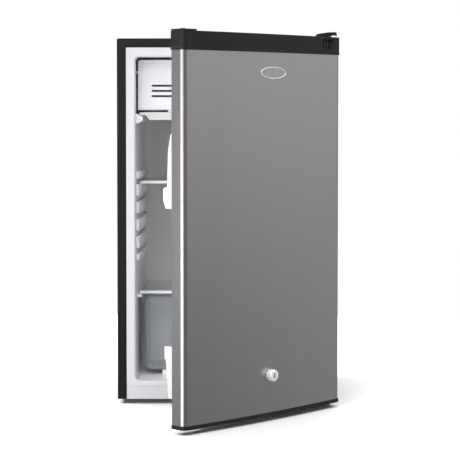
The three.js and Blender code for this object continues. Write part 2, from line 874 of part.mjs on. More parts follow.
function addHinges() {
  const arm = section(
    [
      [-33, 834.2],
      [0, 834.2],
      [5, TOP + FIT],
      [62, TOP + FIT],
      [62, TOP + FIT + 2.5],
      [6.5, TOP + FIT + 2.5],
      [1.5, 836.7],
      [-33, 836.7],
    ],
    209,
    239,
  );
  const armHoles = HINGE_SCREWS.map(([x, y]) => rod("z", 2.4, TOP - 10, TOP + 10, x, y, 12));
  const pinHole = rod("z", 3.4, TOP, TOP + 10, PIN.x, PIN.y, 16);
  piece(cabinet, "top_hinge_plate", cut(arm, ...armHoles, pinHole), blackSteel());

  const pin = turned(
    [
      [0, 814],
      [3, 814],
      [4, 816],
      [4, 833.9],
      [3, 833.9],
      [3, 837.4],
      [0, 837.4],
    ],
    PIN.x,
    PIN.y,
    16,
  );
  piece(cabinet, "top_hinge_pin", pin, zincSteel());

  HINGE_SCREWS.forEach(([x, y], i) => {
    const seat = TOP + FIT + 2.5 + FIT;
    piece(cabinet, "top_hinge_screw_" + (i + 1), screw(x, y, seat, 22), zincSteel());
  });

  const cover = cut(
    elevation(
      outline([
        [206, TOP + FIT],
        [206, 838.4],
        [209, 839.4],
        [233, 843],
        [246, 843],
        [248, 841],
        [248, TOP + 1.4],
      ]),
      -36.5,
      64,
    ),
    elevation(
      outline([
        [207.6, TOP - 1],
        [207.6, 837.3],
        [233, 841.2],
        [245.4, 841.2],
        [246.3, 840],
        [246.3, TOP - 1],
      ]),
      -34.8,
      62.8,
    ),
    block(239.6, 246.3, -40, -30, TOP - 1, 839.5),
    block(239.6, 246.3, 60, 70, TOP - 1, 839.5),
    block(246, 249, -32, 60, TOP + 1.4, 839.5), // side window
    block(200, 260, -40, 0.5, TOP - 1, 833.6),
  );
  piece(cabinet, "top_hinge_cover", cover, blackPlastic());

  const bush = new THREE.LatheGeometry(
    [
      [4.3, 811],
      [7, 811],
      [7, TOP + FIT],
      [8.6, TOP + FIT],
      [8.6, TOP + 2.6],
      [4.3, TOP + 2.6],
      [4.3, 811],
    ].map(([r, z]) => new THREE.Vector2(r, z)),
    20,
  );
  bush.rotateX(Math.PI / 2).translate(PIN.x, PIN.y, 0);
  piece(door, "top_pin_bush", bush, whitePlastic());

  const lower = cut(
    plan(roundedRect(206, 242, -33, 64, 3), BASE - 3, BASE - 0.5),
    ...LOWER_SCREWS.map(([x, y]) => rod("z", 2.4, 0, 20, x, y, 12)),
    rod("z", 2.6, 0, 20, PIN.x, PIN.y, 16),
    rod("z", FOOT.radius + 1.5, 0, 20, FOOT.x, FOOT.front, 16),
  );
  piece(cabinet, "lower_hinge_bracket", lower, blackSteel());

  const stub = turned(
    [
      [0, BASE - 3.6],
      [3.6, BASE - 3.6],
      [3.6, BASE - 3.2],
      [2.2, BASE - 3.2],
      [2.2, BASE - 0.3],
      [3.2, BASE - 0.2],
      [3.2, BASE + 7.4],
      [2.6, BASE + 8],
      [0, BASE + 8],
    ],
    PIN.x,
    PIN.y,
    16,
  );
  piece(cabinet, "lower_hinge_pin", stub, zincSteel());

  const lowerBush = new THREE.LatheGeometry(
    [
      [3.5, BASE + 0.4],
      [6.1, BASE + 0.4],
      [6.1, BASE + 8.2],
      [3.5, BASE + 8.2],
      [3.5, BASE + 0.4],
    ].map(([r, z]) => new THREE.Vector2(r, z)),
    20,
  );
  lowerBush.rotateX(Math.PI / 2).translate(PIN.x, PIN.y, 0);
  piece(door, "lower_pin_bush", lowerBush, whitePlastic());

  const keeper = cut(
    plan(roundedRect(LOCK.x - 16, LOCK.x + 16, -32, 64, 3), BASE - 3, BASE - 0.5),
    block(LOCK.x - 4.5, LOCK.x + 4.5, -25.5, -19.5, 0, 20),
  );
  piece(cabinet, "lock_keeper", keeper, zincSteel());
}

addCasing();
addLiner();
addFeet();
addCooling();
addIceBox();
addShelf("upper_shelf", UPPER_SHELF);
addShelf("lower_shelf", LOWER_SHELF);
addCrisper();
addDoorSkin();
addDoorInside();
addRacks();
addLock();
addHinges();

// The door stands open: its group turns about the hinge pin
door.position.set(PIN.x, PIN.y, 0);
door.rotation.z = (DOOR.open * Math.PI) / 180;
for (const mesh of door.children) mesh.position.set(-PIN.x, -PIN.y, 0);

// Origin at the middle of the footprint, on the floor
appliance.updateMatrixWorld(true);
const middle = new THREE.Box3().setFromObject(appliance, true).getCenter(new THREE.Vector3());
cabinet.position.x -= middle.x;
cabinet.position.y -= middle.y;
door.position.x -= middle.x;
door.position.y -= middle.y;

export default appliance;
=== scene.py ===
import json
import math

import bmesh
import bpy
from mathutils import Matrix, Vector


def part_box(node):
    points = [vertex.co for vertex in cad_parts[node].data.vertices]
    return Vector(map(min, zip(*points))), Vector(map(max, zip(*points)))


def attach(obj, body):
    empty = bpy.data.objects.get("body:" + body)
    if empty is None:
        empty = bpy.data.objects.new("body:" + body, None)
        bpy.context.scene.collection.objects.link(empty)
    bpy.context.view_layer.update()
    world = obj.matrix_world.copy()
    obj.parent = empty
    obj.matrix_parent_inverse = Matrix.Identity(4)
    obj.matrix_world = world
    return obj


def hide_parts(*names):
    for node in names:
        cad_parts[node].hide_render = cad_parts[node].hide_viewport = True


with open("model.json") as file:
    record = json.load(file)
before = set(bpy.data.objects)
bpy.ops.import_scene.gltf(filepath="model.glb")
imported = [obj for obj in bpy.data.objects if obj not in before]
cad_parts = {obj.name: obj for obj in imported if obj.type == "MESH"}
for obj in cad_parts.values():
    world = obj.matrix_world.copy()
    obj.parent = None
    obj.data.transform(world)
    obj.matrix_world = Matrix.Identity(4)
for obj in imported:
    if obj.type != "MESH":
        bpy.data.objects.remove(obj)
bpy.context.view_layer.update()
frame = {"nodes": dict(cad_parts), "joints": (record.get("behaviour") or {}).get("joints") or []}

# All shapes below are in millimetres, seen from the cabinet: x = 0 is its middle, y = 0 its front
# plane, z = 0 the floor. The doorway swings about the hinge pin, so door pieces are drawn closed.
shellLow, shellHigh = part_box("outer_shell")
hinge = next(j for j in frame["joints"] if j["name"] == "door_hinge")
mm = 0.001
cabinetPlace = Matrix.Translation(((shellLow.x + shellHigh.x) / 2, shellLow.y, 0)) @ Matrix.Scale(mm, 4)
pin = cabinetPlace.inverted() @ Vector(hinge["pos_m"])
ajar = math.radians(-hinge["range_deg"][0])
doorSwing = Matrix.Translation((pin.x, pin.y, 0)) @ Matrix.Rotation(ajar, 4, "Z")
doorPlace = cabinetPlace @ doorSwing @ Matrix.Translation((-pin.x, -pin.y, 0))
half = (shellHigh.x - shellLow.x) / 2 / mm
depth = (shellHigh.y - shellLow.y) / mm
top = shellHigh.z / mm
base = shellLow.z / mm


def nodeBox(name):  # a cabinet node's corners in the drawing's millimetres
    low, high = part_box(name)
    back = cabinetPlace.inverted()
    return back @ low, back @ high


def bridge(bm, low, high):  # faces between two rings of equal length
    for i in range(len(low)):
        j = (i + 1) % len(low)
        bm.faces.new((low[i], low[j], high[j], high[i]))


def outward(bm):
    bmesh.ops.recalc_face_normals(bm, faces=bm.faces)
    return bm


def prism(outline, axis, start, end):  # a closed outline run along one axis
    bm = bmesh.new()
    spots = {
        "x": lambda a, b, h: (h, a, b),
        "y": lambda a, b, h: (a, h, b),
        "z": lambda a, b, h: (a, b, h),
    }[axis]
    near = [bm.verts.new(spots(a, b, start)) for a, b in outline]
    far = [bm.verts.new(spots(a, b, end)) for a, b in outline]
    bm.faces.new(near[::-1])
    bm.faces.new(far)
    bridge(bm, near, far)
    return outward(bm)


def block(x0, x1, y0, y1, z0, z1):
    return prism([(x0, y0), (x1, y0), (x1, y1), (x0, y1)], "z", z0, z1)


def filled(low, high):  # a block from one corner to the other
    return block(low.x, high.x, low.y, high.y, low.z, high.z)


def arc(centreA, centreB, radius, fromDeg, toDeg, steps):
    points = []
    for i in range(steps + 1):
        angle = math.radians(fromDeg + (toDeg - fromDeg) * i / steps)
        points.append((centreA + radius * math.cos(angle), centreB + radius * math.sin(angle)))
    return points


def roundRect(a0, a1, b0, b1, r, steps=8):
    return (
        arc(a1 - r, b0 + r, r, -90, 0, steps)
        + arc(a1 - r, b1 - r, r, 0, 90, steps)
        + arc(a0 + r, b1 - r, r, 90, 180, steps)
        + arc(a0 + r, b0 + r, r, 180, 270, steps)
    )


def turned(profile, axis, a, b, steps=64):  # (radius, height) pairs from one end to the other
    bm = bmesh.new()
    spots = {
        "x": lambda u, v, h: (h, a + u, b + v),
        "y": lambda u, v, h: (a + u, h, b + v),
        "z": lambda u, v, h: (a + u, b + v, h),
    }[axis]
    rings = []
    for radius, height in profile:
        if radius < 1e-6:
            rings.append([bm.verts.new(spots(0, 0, height))])
            continue
        ring = []
        for i in range(steps):
            angle = 2 * math.pi * i / steps
            ring.append(bm.verts.new(spots(radius * math.cos(angle), radius * math.sin(angle), height)))
        rings.append(ring)
    pairs = list(zip(rings, rings[1:]))
    if len(rings[0]) > 1 and len(rings[-1]) > 1:
        pairs.append((rings[-1], rings[0]))  # a sleeve closes on itself
    for low, high in pairs:
        for i in range(steps):
            j = (i + 1) % steps
            if len(low) == 1 and len(high) > 1:
                bm.faces.new((low[0], high[i], high[j]))
            elif len(high) == 1 and len(low) > 1:
                bm.faces.new((low[i], low[j], high[0]))
            elif len(low) > 1:
                bm.faces.new((low[i], low[j], high[j], high[i]))
    return outward(bm)


def loft(rings):  # closed rings of equal length, joined in order, with both ends filled
    bm = bmesh.new()
    made = [[bm.verts.new(p) for p in ring] for ring in rings]
    for low, high in zip(made, made[1:]):
        bridge(bm, low, high)
    bm.faces.new(made[0][::-1])
    bm.faces.new(made[-1])
    return outward(bm)


def bent(corners, bend, steps=6):  # a line through the corners, each rounded off
    corners = [Vector(c) for c in corners]
    line = [corners[0]]
    for before, here, after in zip(corners, corners[1:], corners[2:]):
        start = here + (before - here).normalized() * bend
        end = here + (after - here).normalized() * bend
        for i in range(steps + 1):
            t = i / steps
            line.append(start * (1 - t) ** 2 + here * 2 * t * (1 - t) + end * t ** 2)
    line.append(corners[-1])
    return line


def swept(line, radius, sides=14):  # a tube along a line
    angles = [2 * math.pi * i / sides for i in range(sides)]
    section = [(radius * math.cos(angle), radius * math.sin(angle)) for angle in angles]
    rings = []
    side = None
    for i, spot in enumerate(line):
        before = line[max(i - 1, 0)]
        after = line[min(i + 1, len(line) - 1)]
        along = (Vector(after) - Vector(before)).normalized()
        if side is None:
            side = along.orthogonal().normalized()
        side = (side - along * side.dot(along)).normalized()
        up = along.cross(side)
        rings.append([Vector(spot) + side * u + up * v for u, v in section])
    return loft(rings)


def soften(bm, width, steps=3, sharperThan=35):  # rounds every edge that bends more than this
    limit = math.radians(sharperThan)
    bmesh.ops.dissolve_limit(bm, angle_limit=math.radians(0.5), verts=bm.verts, edges=bm.edges)
    edges = [e for e in bm.edges if len(e.link_faces) == 2 and e.calc_face_angle(0) > limit]
    bmesh.ops.bevel(
        bm, geom=edges, offset=width, offset_type="OFFSET", segments=steps,
        profile=0.5, affect="EDGES", clamp_overlap=True,
    )
    return bm


def joined(*parts):
    whole = parts[0]
    for part in parts[1:]:
        mesh = bpy.data.meshes.new("part")
        part.to_mesh(mesh)
        part.free()
        whole.from_mesh(mesh)
        bpy.data.meshes.remove(mesh)
    return whole


def looseObject(bm, name):
    mesh = bpy.data.meshes.new(name)
    bm.to_mesh(mesh)
    bm.free()
    thing = bpy.data.objects.new(name, mesh)
    bpy.context.scene.collection.objects.link(thing)
    return thing


def carved(bm, *tools, how="DIFFERENCE"):  # cuts the tools out of the shape, or welds them on
    body = looseObject(bm, "carved")
    for tool in tools:
        cutter = looseObject(tool, "cutter")
        step = body.modifiers.new("cut", "BOOLEAN")
        step.operation = how
        step.object = cutter
        step.solver = "EXACT"
        bpy.context.view_layer.update()
        shown = body.evaluated_get(bpy.context.evaluated_depsgraph_get())
        result = bpy.data.meshes.new_from_object(shown)
        body.modifiers.clear()
        old = body.data
        body.data = result
        bpy.data.meshes.remove(old)
        bpy.data.meshes.remove(cutter.data)
    made = bmesh.new()
    made.from_mesh(body.data)
    bmesh.ops.remove_doubles(made, verts=made.verts, dist=0.001)
    bpy.data.meshes.remove(body.data)
    return made


def piece(name, bm, finish, body, nodes=(), onDoor=False, smooth=40):
    mesh = bpy.data.meshes.new(name)
    bm.to_mesh(mesh)
    bm.free()
    mesh.transform(doorPlace if onDoor else cabinetPlace)
    for face in mesh.polygons:
        face.use_smooth = True
    mesh.set_sharp_from_angle(angle=math.radians(smooth))
    mesh.materials.append(finish)
    thing = bpy.data.objects.new(name, mesh)
    bpy.context.scene.collection.objects.link(thing)
    even = thing.modifiers.new("evenNormals", "WEIGHTED_NORMAL")
    even.keep_sharp = True
    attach(thing, body)
    nodes = [nodes] if isinstance(nodes, str) else nodes
    if nodes:
        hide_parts(*nodes)
    return thing


def dress(name, finish, round=0.0):  # keeps a CAD node, with eased edges
    thing = frame["nodes"][name]
    thing.data.materials.clear()
    thing.data.materials.append(finish)
    if round:
        thing.modifiers.new("weld", "WELD").merge_threshold = 0.00001
        flat = thing.modifiers.new("flat", "DECIMATE")
        flat.decimate_type = "DISSOLVE"
        flat.angle_limit = math.radians(0.5)
        ease = thing.modifiers.new("ease", "BEVEL")
        ease.width = round * mm
        ease.segments = 2
        ease.limit_method = "ANGLE"
        ease.angle_limit = math.radians(35)
        ease.harden_normals = True


class Flow:  # a socket that can be added, multiplied and so on
    def __init__(self, finish, socket):
        self.finish = finish
        self.socket = socket

    def do(self, operation, a, b):
        return self.finish.node("ShaderNodeMath", {"operation": operation}, {0: a, 1: b})

    def __add__(self, other):
        return self.do("ADD", self, other)

    def __radd__(self, other):
        return self.do("ADD", other, self)

    def __sub__(self, other):
        return self.do("SUBTRACT", self, other)

    def __rsub__(self, other):
        return self.do("SUBTRACT", other, self)

    def __mul__(self, other):
        return self.do("MULTIPLY", self, other)

    def __rmul__(self, other):
        return self.do("MULTIPLY", other, self)


class Finish:
    def __init__(self, name, kind="BSDF_PRINCIPLED", holder=None, **settings):
        self.material = holder or bpy.data.materials.new(name)
        self.material.use_nodes = True
        self.tree = self.material.node_tree
        self.shader = next(n for n in self.tree.nodes if n.type == kind)
        for socket, value in settings.items():
            self.set(socket, value)

    def set(self, socket, value):
        self.feed(self.shader.inputs[socket.replace("_", " ")], value)

    def feed(self, target, value):
        if isinstance(value, Flow):
            self.tree.links.new(value.socket, target)
        elif isinstance(value, (tuple, list)) and len(value) == 3 and len(target.default_value) == 4:
            target.default_value = (*value, 1)
        else:
            target.default_value = value

    def node(self, kind, settings=None, sockets=None, output=0):
        made = self.tree.nodes.new(kind)
        for key, value in (settings or {}).items():
            if key == "stops":
                for stop, (at, shade) in zip(made.color_ramp.elements, value):
                    stop.position = at
                    stop.color = (shade, shade, shade, 1)
            else:
                setattr(made, key, value)
        for key, value in (sockets or {}).items():
            self.feed(made.inputs[key], value)
        return Flow(self, made.outputs[output])

    def place(self, stretch=(1, 1, 1)):  # the piece's own coordinates, in metres, stretched
        spot = self.node("ShaderNodeTexCoord", output="Object")
        return self.node("ShaderNodeMapping", {}, {"Vector": spot, "Scale": stretch})

    def noise(self, scale, detail=3.0, rough=0.5, stretch=(1, 1, 1)):
        return self.node(
            "ShaderNodeTexNoise", {},
            {"Vector": self.place(stretch), "Scale": scale, "Detail": detail, "Roughness": rough},
        )

    def cells(self, scale, output="Distance"):
        return self.node("ShaderNodeTexVoronoi", {}, {"Vector": self.place(), "Scale": scale}, output)

    def ramp(self, value, low, high, at=(0.3, 0.7)):
        return self.node("ShaderNodeValToRGB", {"stops": [(at[0], low), (at[1], high)]}, {"Fac": value})

    def blend(self, share, first, second):
        return self.node(
            "ShaderNodeMix", {"data_type": "RGBA"}, {"Factor": share, 6: first, 7: second}, 2
        )

    def bump(self, height, strength, distance):
        normal = self.node(
            "ShaderNodeBump", {}, {"Height": height, "Strength": strength, "Distance": distance}
        )
        self.set("Normal", normal)


def tint(colour, factor):
    return tuple(c * factor for c in colour)


def brushedSteelFinish():
    steel = {"colour": (0.44, 0.425, 0.434), "rough": 0.28, "spread": 0.1, "streak": 0.11}
    f = Finish("brushedSteel", Metallic=1.0)
    streaks = f.noise(1.0, 5, 0.65, (520, 520, 5))  # the grain runs up the door
    broad = f.noise(1.0, 2, 0.5, (34, 34, 1.4))
    wear = streaks * 0.65 + broad * 0.35
    colour = steel["colour"]
    f.set("Base_Color", f.blend(wear, tint(colour, 1 - steel["streak"]), tint(colour, 1 + steel["streak"])))
    f.set("Roughness", steel["rough"] + streaks * steel["spread"])
    f.bump(streaks, 0.05, 0.0002)
    return f.material


def plasticFinish(name, colour, rough, grain=900, depth=0.12, mottle=0.06, **settings):
    f = Finish(name, **settings)
    broad = f.noise(9, 3)
    fine = f.noise(grain, 2)
    f.set("Base_Color", f.blend(broad, tint(colour, 1 - mottle), tint(colour, 1 + mottle)))
    f.set("Roughness", (rough - 0.04) + broad * 0.08)
    f.bump(fine, depth, 0.0002)
    return f.material


def linerFinish():  # painted shade makes the flange a greyer white, painted light makes the walls behind it lighter
    f = Finish("litAndShadedLiner")
    inward = f.node("ShaderNodeSeparateXYZ", {}, {"Vector": f.place()}, 1)
    behind = f.node("ShaderNodeMapRange", {},
                    {"Value": inward, "From Min": shellLow.y + 0.004, "From Max": shellLow.y + 0.016})
    mottle = f.noise(9, 3)
    # painted shade on the flange and painted light on the walls: one white plastic drawn in two tones
    flange = f.blend(mottle, (0.636, 0.632, 0.662), (0.654, 0.65, 0.68))
    paintedLightWalls = f.blend(mottle, (0.9, 0.89, 0.9), (0.92, 0.91, 0.92))
    f.set("Base_Color", f.blend(behind, flange, paintedLightWalls))
    f.set("Roughness", 0.29 + mottle * 0.08)
    f.bump(f.noise(60, 2), 0.03, 0.0002)
    return f.material


def paintedSteelFinish(name, colour, rough):
    f = Finish(name, Specular_IOR_Level=0.3)
    peel = f.noise(260, 2)  # orange peel of the lacquer
    broad = f.noise(5, 4)
    f.set("Base_Color", f.blend(broad, tint(colour, 0.88), tint(colour, 1.12)))
    f.set("Roughness", (rough - 0.05) + broad * 0.1)
    f.bump(peel, 0.08, 0.0003)
    return f.material


def metalFinish(name, colour, rough, spangle=0, dull=0.25, grain=60, metal=1.0):
    f = Finish(name, Metallic=metal)
    broad = f.noise(14, 4)
    patch = f.cells(spangle, output="Color") if spangle else f.noise(grain, 3)
    share = f.ramp(patch, 0.0, 1.0)
    f.set("Base_Color", f.blend(share, tint(colour, 1 - dull), colour))
    f.set("Roughness", (rough - 0.05) + broad * 0.16)
    f.bump(f.noise(700, 2), 0.05, 0.0002)
    return f.material


def copperFinish():
    f = Finish("drawnCopper", Metallic=1.0)
    stain = f.ramp(f.noise(38, 5, 0.65), 0.0, 1.0, (0.42, 0.62))
    f.set("Base_Color", f.blend(stain, (0.78, 0.36, 0.2), (0.4, 0.19, 0.12)))
    f.set("Roughness", 0.22 + stain * 0.28)
    f.bump(f.noise(500, 2), 0.05, 0.0002)
    return f.material


def clearFinish(name, colour, ior, rough, clear):
    f = Finish(name, Transmission_Weight=clear, IOR=ior)
    haze = f.noise(22, 3)
    f.set("Base_Color", f.blend(haze, tint(colour, 0.97), colour))
    f.set("Roughness", rough + haze * 0.03)
    f.bump(f.noise(40, 2), 0.02, 0.0005)
    return f.material


def foamFinish():
    f = Finish("insulationFoam")
    cells = f.cells(420)
    f.set("Base_Color", f.blend(cells, (0.72, 0.62, 0.34), (0.86, 0.78, 0.5)))
    f.set("Roughness", 0.9 + cells * 0.05)
    f.bump(cells, 0.5, 0.0008)
    return f.material


steelDoor = brushedSteelFinish()
steelShell = paintedSteelFinish("blackSteel", (0.0068, 0.0068, 0.0071), 0.45)
compressorPaint = paintedSteelFinish("compressorEnamel", (0.012, 0.012, 0.013), 0.3)
blackCap = plasticFinish("blackPlastic", (0.0108, 0.0108, 0.0111), 0.5, 1500, 0.2, Specular_IOR_Level=0.3)
whiteLiner = plasticFinish("whiteLiner", (0.81, 0.805, 0.84), 0.33, 60, 0.03, 0.012)
litAndShadedLiner = linerFinish()
whiteTrim = plasticFinish("whiteTrim", (0.83, 0.825, 0.86), 0.28, 120, 0.03, 0.012)
# painted shade: the flap and the drip tray are greyer copies of the white trim plastic
shadedFlapWhite = plasticFinish("shadedFlapWhite", (0.745, 0.74, 0.77), 0.3, 120, 0.03, 0.01)
shadedTrayWhite = plasticFinish("shadedTrayWhite", (0.6, 0.595, 0.62), 0.3, 120, 0.03, 0.012)
greySill = plasticFinish("greySill", (0.61, 0.606, 0.628), 0.42, 700, 0.08, 0.02)
milkyRack = plasticFinish("milkyPlastic", (0.7, 0.69, 0.655), 0.25, 90, 0.03, 0.015, Subsurface_Weight=0.15)
nylonWhite = plasticFinish("nylon", (0.8, 0.8, 0.76), 0.4, 300, 0.06, 0.03)
sealRubber = plasticFinish("sealRubber", (0.62, 0.62, 0.63), 0.55, 500, 0.1, 0.04)
mountRubber = plasticFinish("mountRubber", (0.03, 0.03, 0.031), 0.75, 400, 0.3, 0.15)
clearCrisper = clearFinish("clearPlastic", (0.93, 0.95, 0.98), 1.49, 0.03, 0.88)
shelfPane = clearFinish("shelfGlass", (0.9, 0.97, 0.94), 1.52, 0.0, 1.0)
galvanised = metalFinish("galvanisedSteel", (0.6, 0.61, 0.62), 0.42, spangle=120, dull=0.16)
zinc = metalFinish("zincSteel", (0.68, 0.68, 0.66), 0.3)
# painted reflection: the lock metal is mostly a near-white diffuse colour, so it reads as brightly lit chrome
paintedSheenChrome = metalFinish("paintedSheenMetal", (0.9, 0.9, 0.91), 0.2, dull=0.06, metal=0.35)
badgeMetal = metalFinish("badgeMetal", (0.52, 0.51, 0.52), 0.3, dull=0.12)
badgeRim = metalFinish("badgeRim", (0.9, 0.9, 0.91), 0.3, dull=0.05, metal=0.3)
iceBoxMetal = metalFinish("anodisedAluminium", (0.72, 0.74, 0.76), 0.36, dull=0.12)
copper = copperFinish()
foam = foamFinish()
print("finishes made")


casing = {"sheet": 1.5, "flange": 20.5, "corner": 4, "edge": 0.7}


def arch(outer, inner, cornerRadius):  # an upside-down U from the base to the top
    def over(reach, r):  # from the left foot over the top to the right one
        rise = top - (half - reach)
        bends = [(-reach, rise), (reach, rise)]
        if r > 0:
            bends = arc(-reach + r, rise - r, r, 180, 90, 6) + arc(reach - r, rise - r, r, 90, 0, 6)
        return [(-reach, base), *bends, (reach, base)]

    return over(outer, cornerRadius) + over(inner, cornerRadius - (outer - inner))[::-1]


def makeCasing():
    wrap = prism(arch(half, half - casing["sheet"], casing["corner"]), "y", 0, depth)
    flange = prism(arch(half, half - casing["flange"], casing["corner"]), "y", 0, casing["sheet"])
    shell = soften(carved(wrap, flange, how="UNION"), casing["edge"])
    piece("shellWrap", shell, steelShell, "cabinet", "outer_shell")

    low, high = nodeBox("back_panel")
    back = filled(low, high)
    pressed = []
    for z in (330, 440, 550, 660):  # stiffening beads
        pressed.append(soften(prism(roundRect(-150, 150, z, z + 14, 6.9), "y", high.y - 0.5, high.y + 1.3),
                              0.8, 2))
    piece("backPanel", joined(soften(back, 0.3, 2), *pressed), galvanised, "cabinet", "back_panel")
    dress("machine_bay_panel", galvanised, 0.3)
    dress("base_plate", galvanised, 0.3)

    low, high = nodeBox("front_sill")
    profile = [(low.y, low.z), (low.y, high.z), (high.y, high.z), (high.y, high.z - 2),
               (low.y + 2.2, high.z - 2), (low.y + 2.2, low.z)]
    ends = [block(x - 1, x + 1, low.y + 1, high.y, low.z, high.z - 1) for x in (low.x + 1, high.x - 1)]
    piece("sillStrip", joined(soften(prism(profile, "x", low.x, high.x), 0.9), *ends), greySill, "cabinet",
          "front_sill")
    dress("cabinet_foam", foam)


makeCasing()
print("casing done")


liner = {
    "half": 203, "floor": 53, "top": 789, "back": 352, "wall": 2, "fillet": 10, "lip": 4.5,
    "humpFront": 226, "humpTop": 205, "ribReach": 193, "ribFront": 66, "ribBack": 340,
    "ribNose": 42, "ribTop": 499, "ribPitch": 40, "ribSlot": 13, "ribs": 5, "lowerShelf": 243.2, "ease": 2.6,
    "flapPivot": (46, 755), "runner": 140,
}


def cavity(grow, front):  # the hollow's side outline run across, with every edge rounded
    q = liner
    outline = [
        (front, q["floor"] - grow), (q["humpFront"] + grow, q["floor"] - grow),
        (q["humpFront"] + grow, q["humpTop"] - grow), (q["back"] + grow, q["humpTop"] - grow),
        (q["back"] + grow, q["top"] + grow), (front, q["top"] + grow),
    ]
    body = prism(outline, "x", -q["half"] - grow, q["half"] + grow)
    return soften(body, q["fillet"] + grow, 6)


def lipRing():  # rounds the mouth of the hollow into the flange
    q = liner
    steps = 6
    rings = []
    spots = [(-2, q["lip"] + 1)]
    for i in range(steps + 1):
        angle = math.radians(90 * i / steps)
        spots.append((0.3 + q["lip"] * (1 - math.cos(angle)), q["lip"] * (1 - math.sin(angle))))
    for y, out in [*spots, (q["lip"] + 4, -0.4)]:
        ring = roundRect(-q["half"] - out, q["half"] + out, q["floor"] - out, q["top"] + out,
                         q["fillet"] + out, 8)
        rings.append([(x, y, z) for x, z in ring])
    return loft(rings)


def makeLiner():
    q = liner
    low, high = nodeBox("inner_liner")
    flange = prism(roundRect(low.x, high.x, low.z, high.z, 0.8, 2), "y", low.y, low.y + 6)
    outside = carved(flange, cavity(q["wall"], 2.0), how="UNION")
    shell = carved(outside, cavity(0, -40), lipRing())
    ranges = [(q["ribTop"] + q["ribSlot"], q["ribTop"] + q["ribSlot"] + 16)]
    for i in range(q["ribs"]):
        high = q["ribTop"] - i * q["ribPitch"]
        tall = 15 if i == q["ribs"] - 1 else q["ribPitch"] - q["ribSlot"]
        ranges.append((high - tall, high))
    ribs = []
    for side in (-1, 1):
        wall = side * (q["half"] + 1)
        plan = [(wall, q["ribNose"]), (side * 198, q["ribNose"]), (side * q["ribReach"], q["ribFront"]),
                (side * q["ribReach"], q["ribBack"]), (wall, q["ribBack"])]
        for z0, z1 in ranges:
            ribs.append(soften(prism(plan, "z", z0, z1), q["ease"], 4, 25))
        ledge = block(*sorted((wall, side * q["ribReach"])), 79, q["ribBack"], q["lowerShelf"] - 9,
                      q["lowerShelf"])
        ribs.append(soften(ledge, 1.6, 3))
        rail = block(*sorted((wall, side * 187)), 34, q["ribBack"], 643, 656.4)
        nose = [(wall, 661), (side * 197, 660), (side * 195.8, 656.2), (side * 189, 655), (side * 187, 649),
                (side * 190, 643), (side * 198, 638.5), (wall, 637)]
        ribs.append(soften(rail, 2, 3))  # carries the drip tray
        ribs.append(soften(prism(nose, "y", 28, 46), 2.6, 4, 25))
        runner = side * q["runner"]
        ramp = [(62, q["floor"] - 1), (62, q["floor"] + 1.2), (74, q["floor"] + 2.6), (86, 65.4),
                (q["humpFront"] + 1, 65.4), (q["humpFront"] + 1, q["floor"] - 1)]
        ribs.append(soften(prism(ramp, "x", runner - 6, runner + 6), 1.4, 3, 25))
    eye = turned([(2.5, -q["half"] - 1), (3.8, -q["half"] - 1), (3.8, -199.7), (3.4, -199.3), (2.5, -199.3)],
                 "x", *q["flapPivot"], 32)
    piece("linerShell", joined(shell, *ribs, eye), litAndShadedLiner, "cabinet", "inner_liner")


makeLiner()
print("liner done")


def makeFeet():
    foot = {"radius": 15, "pad": 10.6, "grips": 18}
    for name in ("front_foot_left", "front_foot_right", "rear_foot_left", "rear_foot_right"):
        low, high = nodeBox(name)
        x, y = (low.x + high.x) / 2, (low.y + high.y) / 2
        r = foot["radius"]
        pad = turned([(0, 0), (r - 2.4, 0), (r - 0.7, 0.6), (r - 0.4, 2), (r - 0.4, 7.4), (r - 1, 9),
                      (r - 3, foot["pad"]), (5, foot["pad"]), (4.4, 11), (4.8, 11.8), (4.8, high.z - 1),
                      (4, high.z), (0, high.z)], "z", x, y, 48,)
        grips = []
        for i in range(foot["grips"]):  # finger grips round the rim
            angle = 2 * math.pi * i / foot["grips"]
            at = (x + (r - 0.9) * math.cos(angle), y + (r - 0.9) * math.sin(angle))
            grips.append(turned([(0, 2.2), (0.9, 2.8), (0.9, 6.8), (0, 7.4)], "z", *at, 10))
        body = name if name.startswith("front") else "cabinet"
        piece(name + "_pad", joined(pad, *grips), blackCap, body, name)


makeFeet()


cooling = {"x": -70, "y": 322, "coilY": depth + 9.3, "reach": 196, "runs": 12, "low": 232, "pitch": 48,
           "tube": 2.6, "wires": 29, "wire": 0.75}


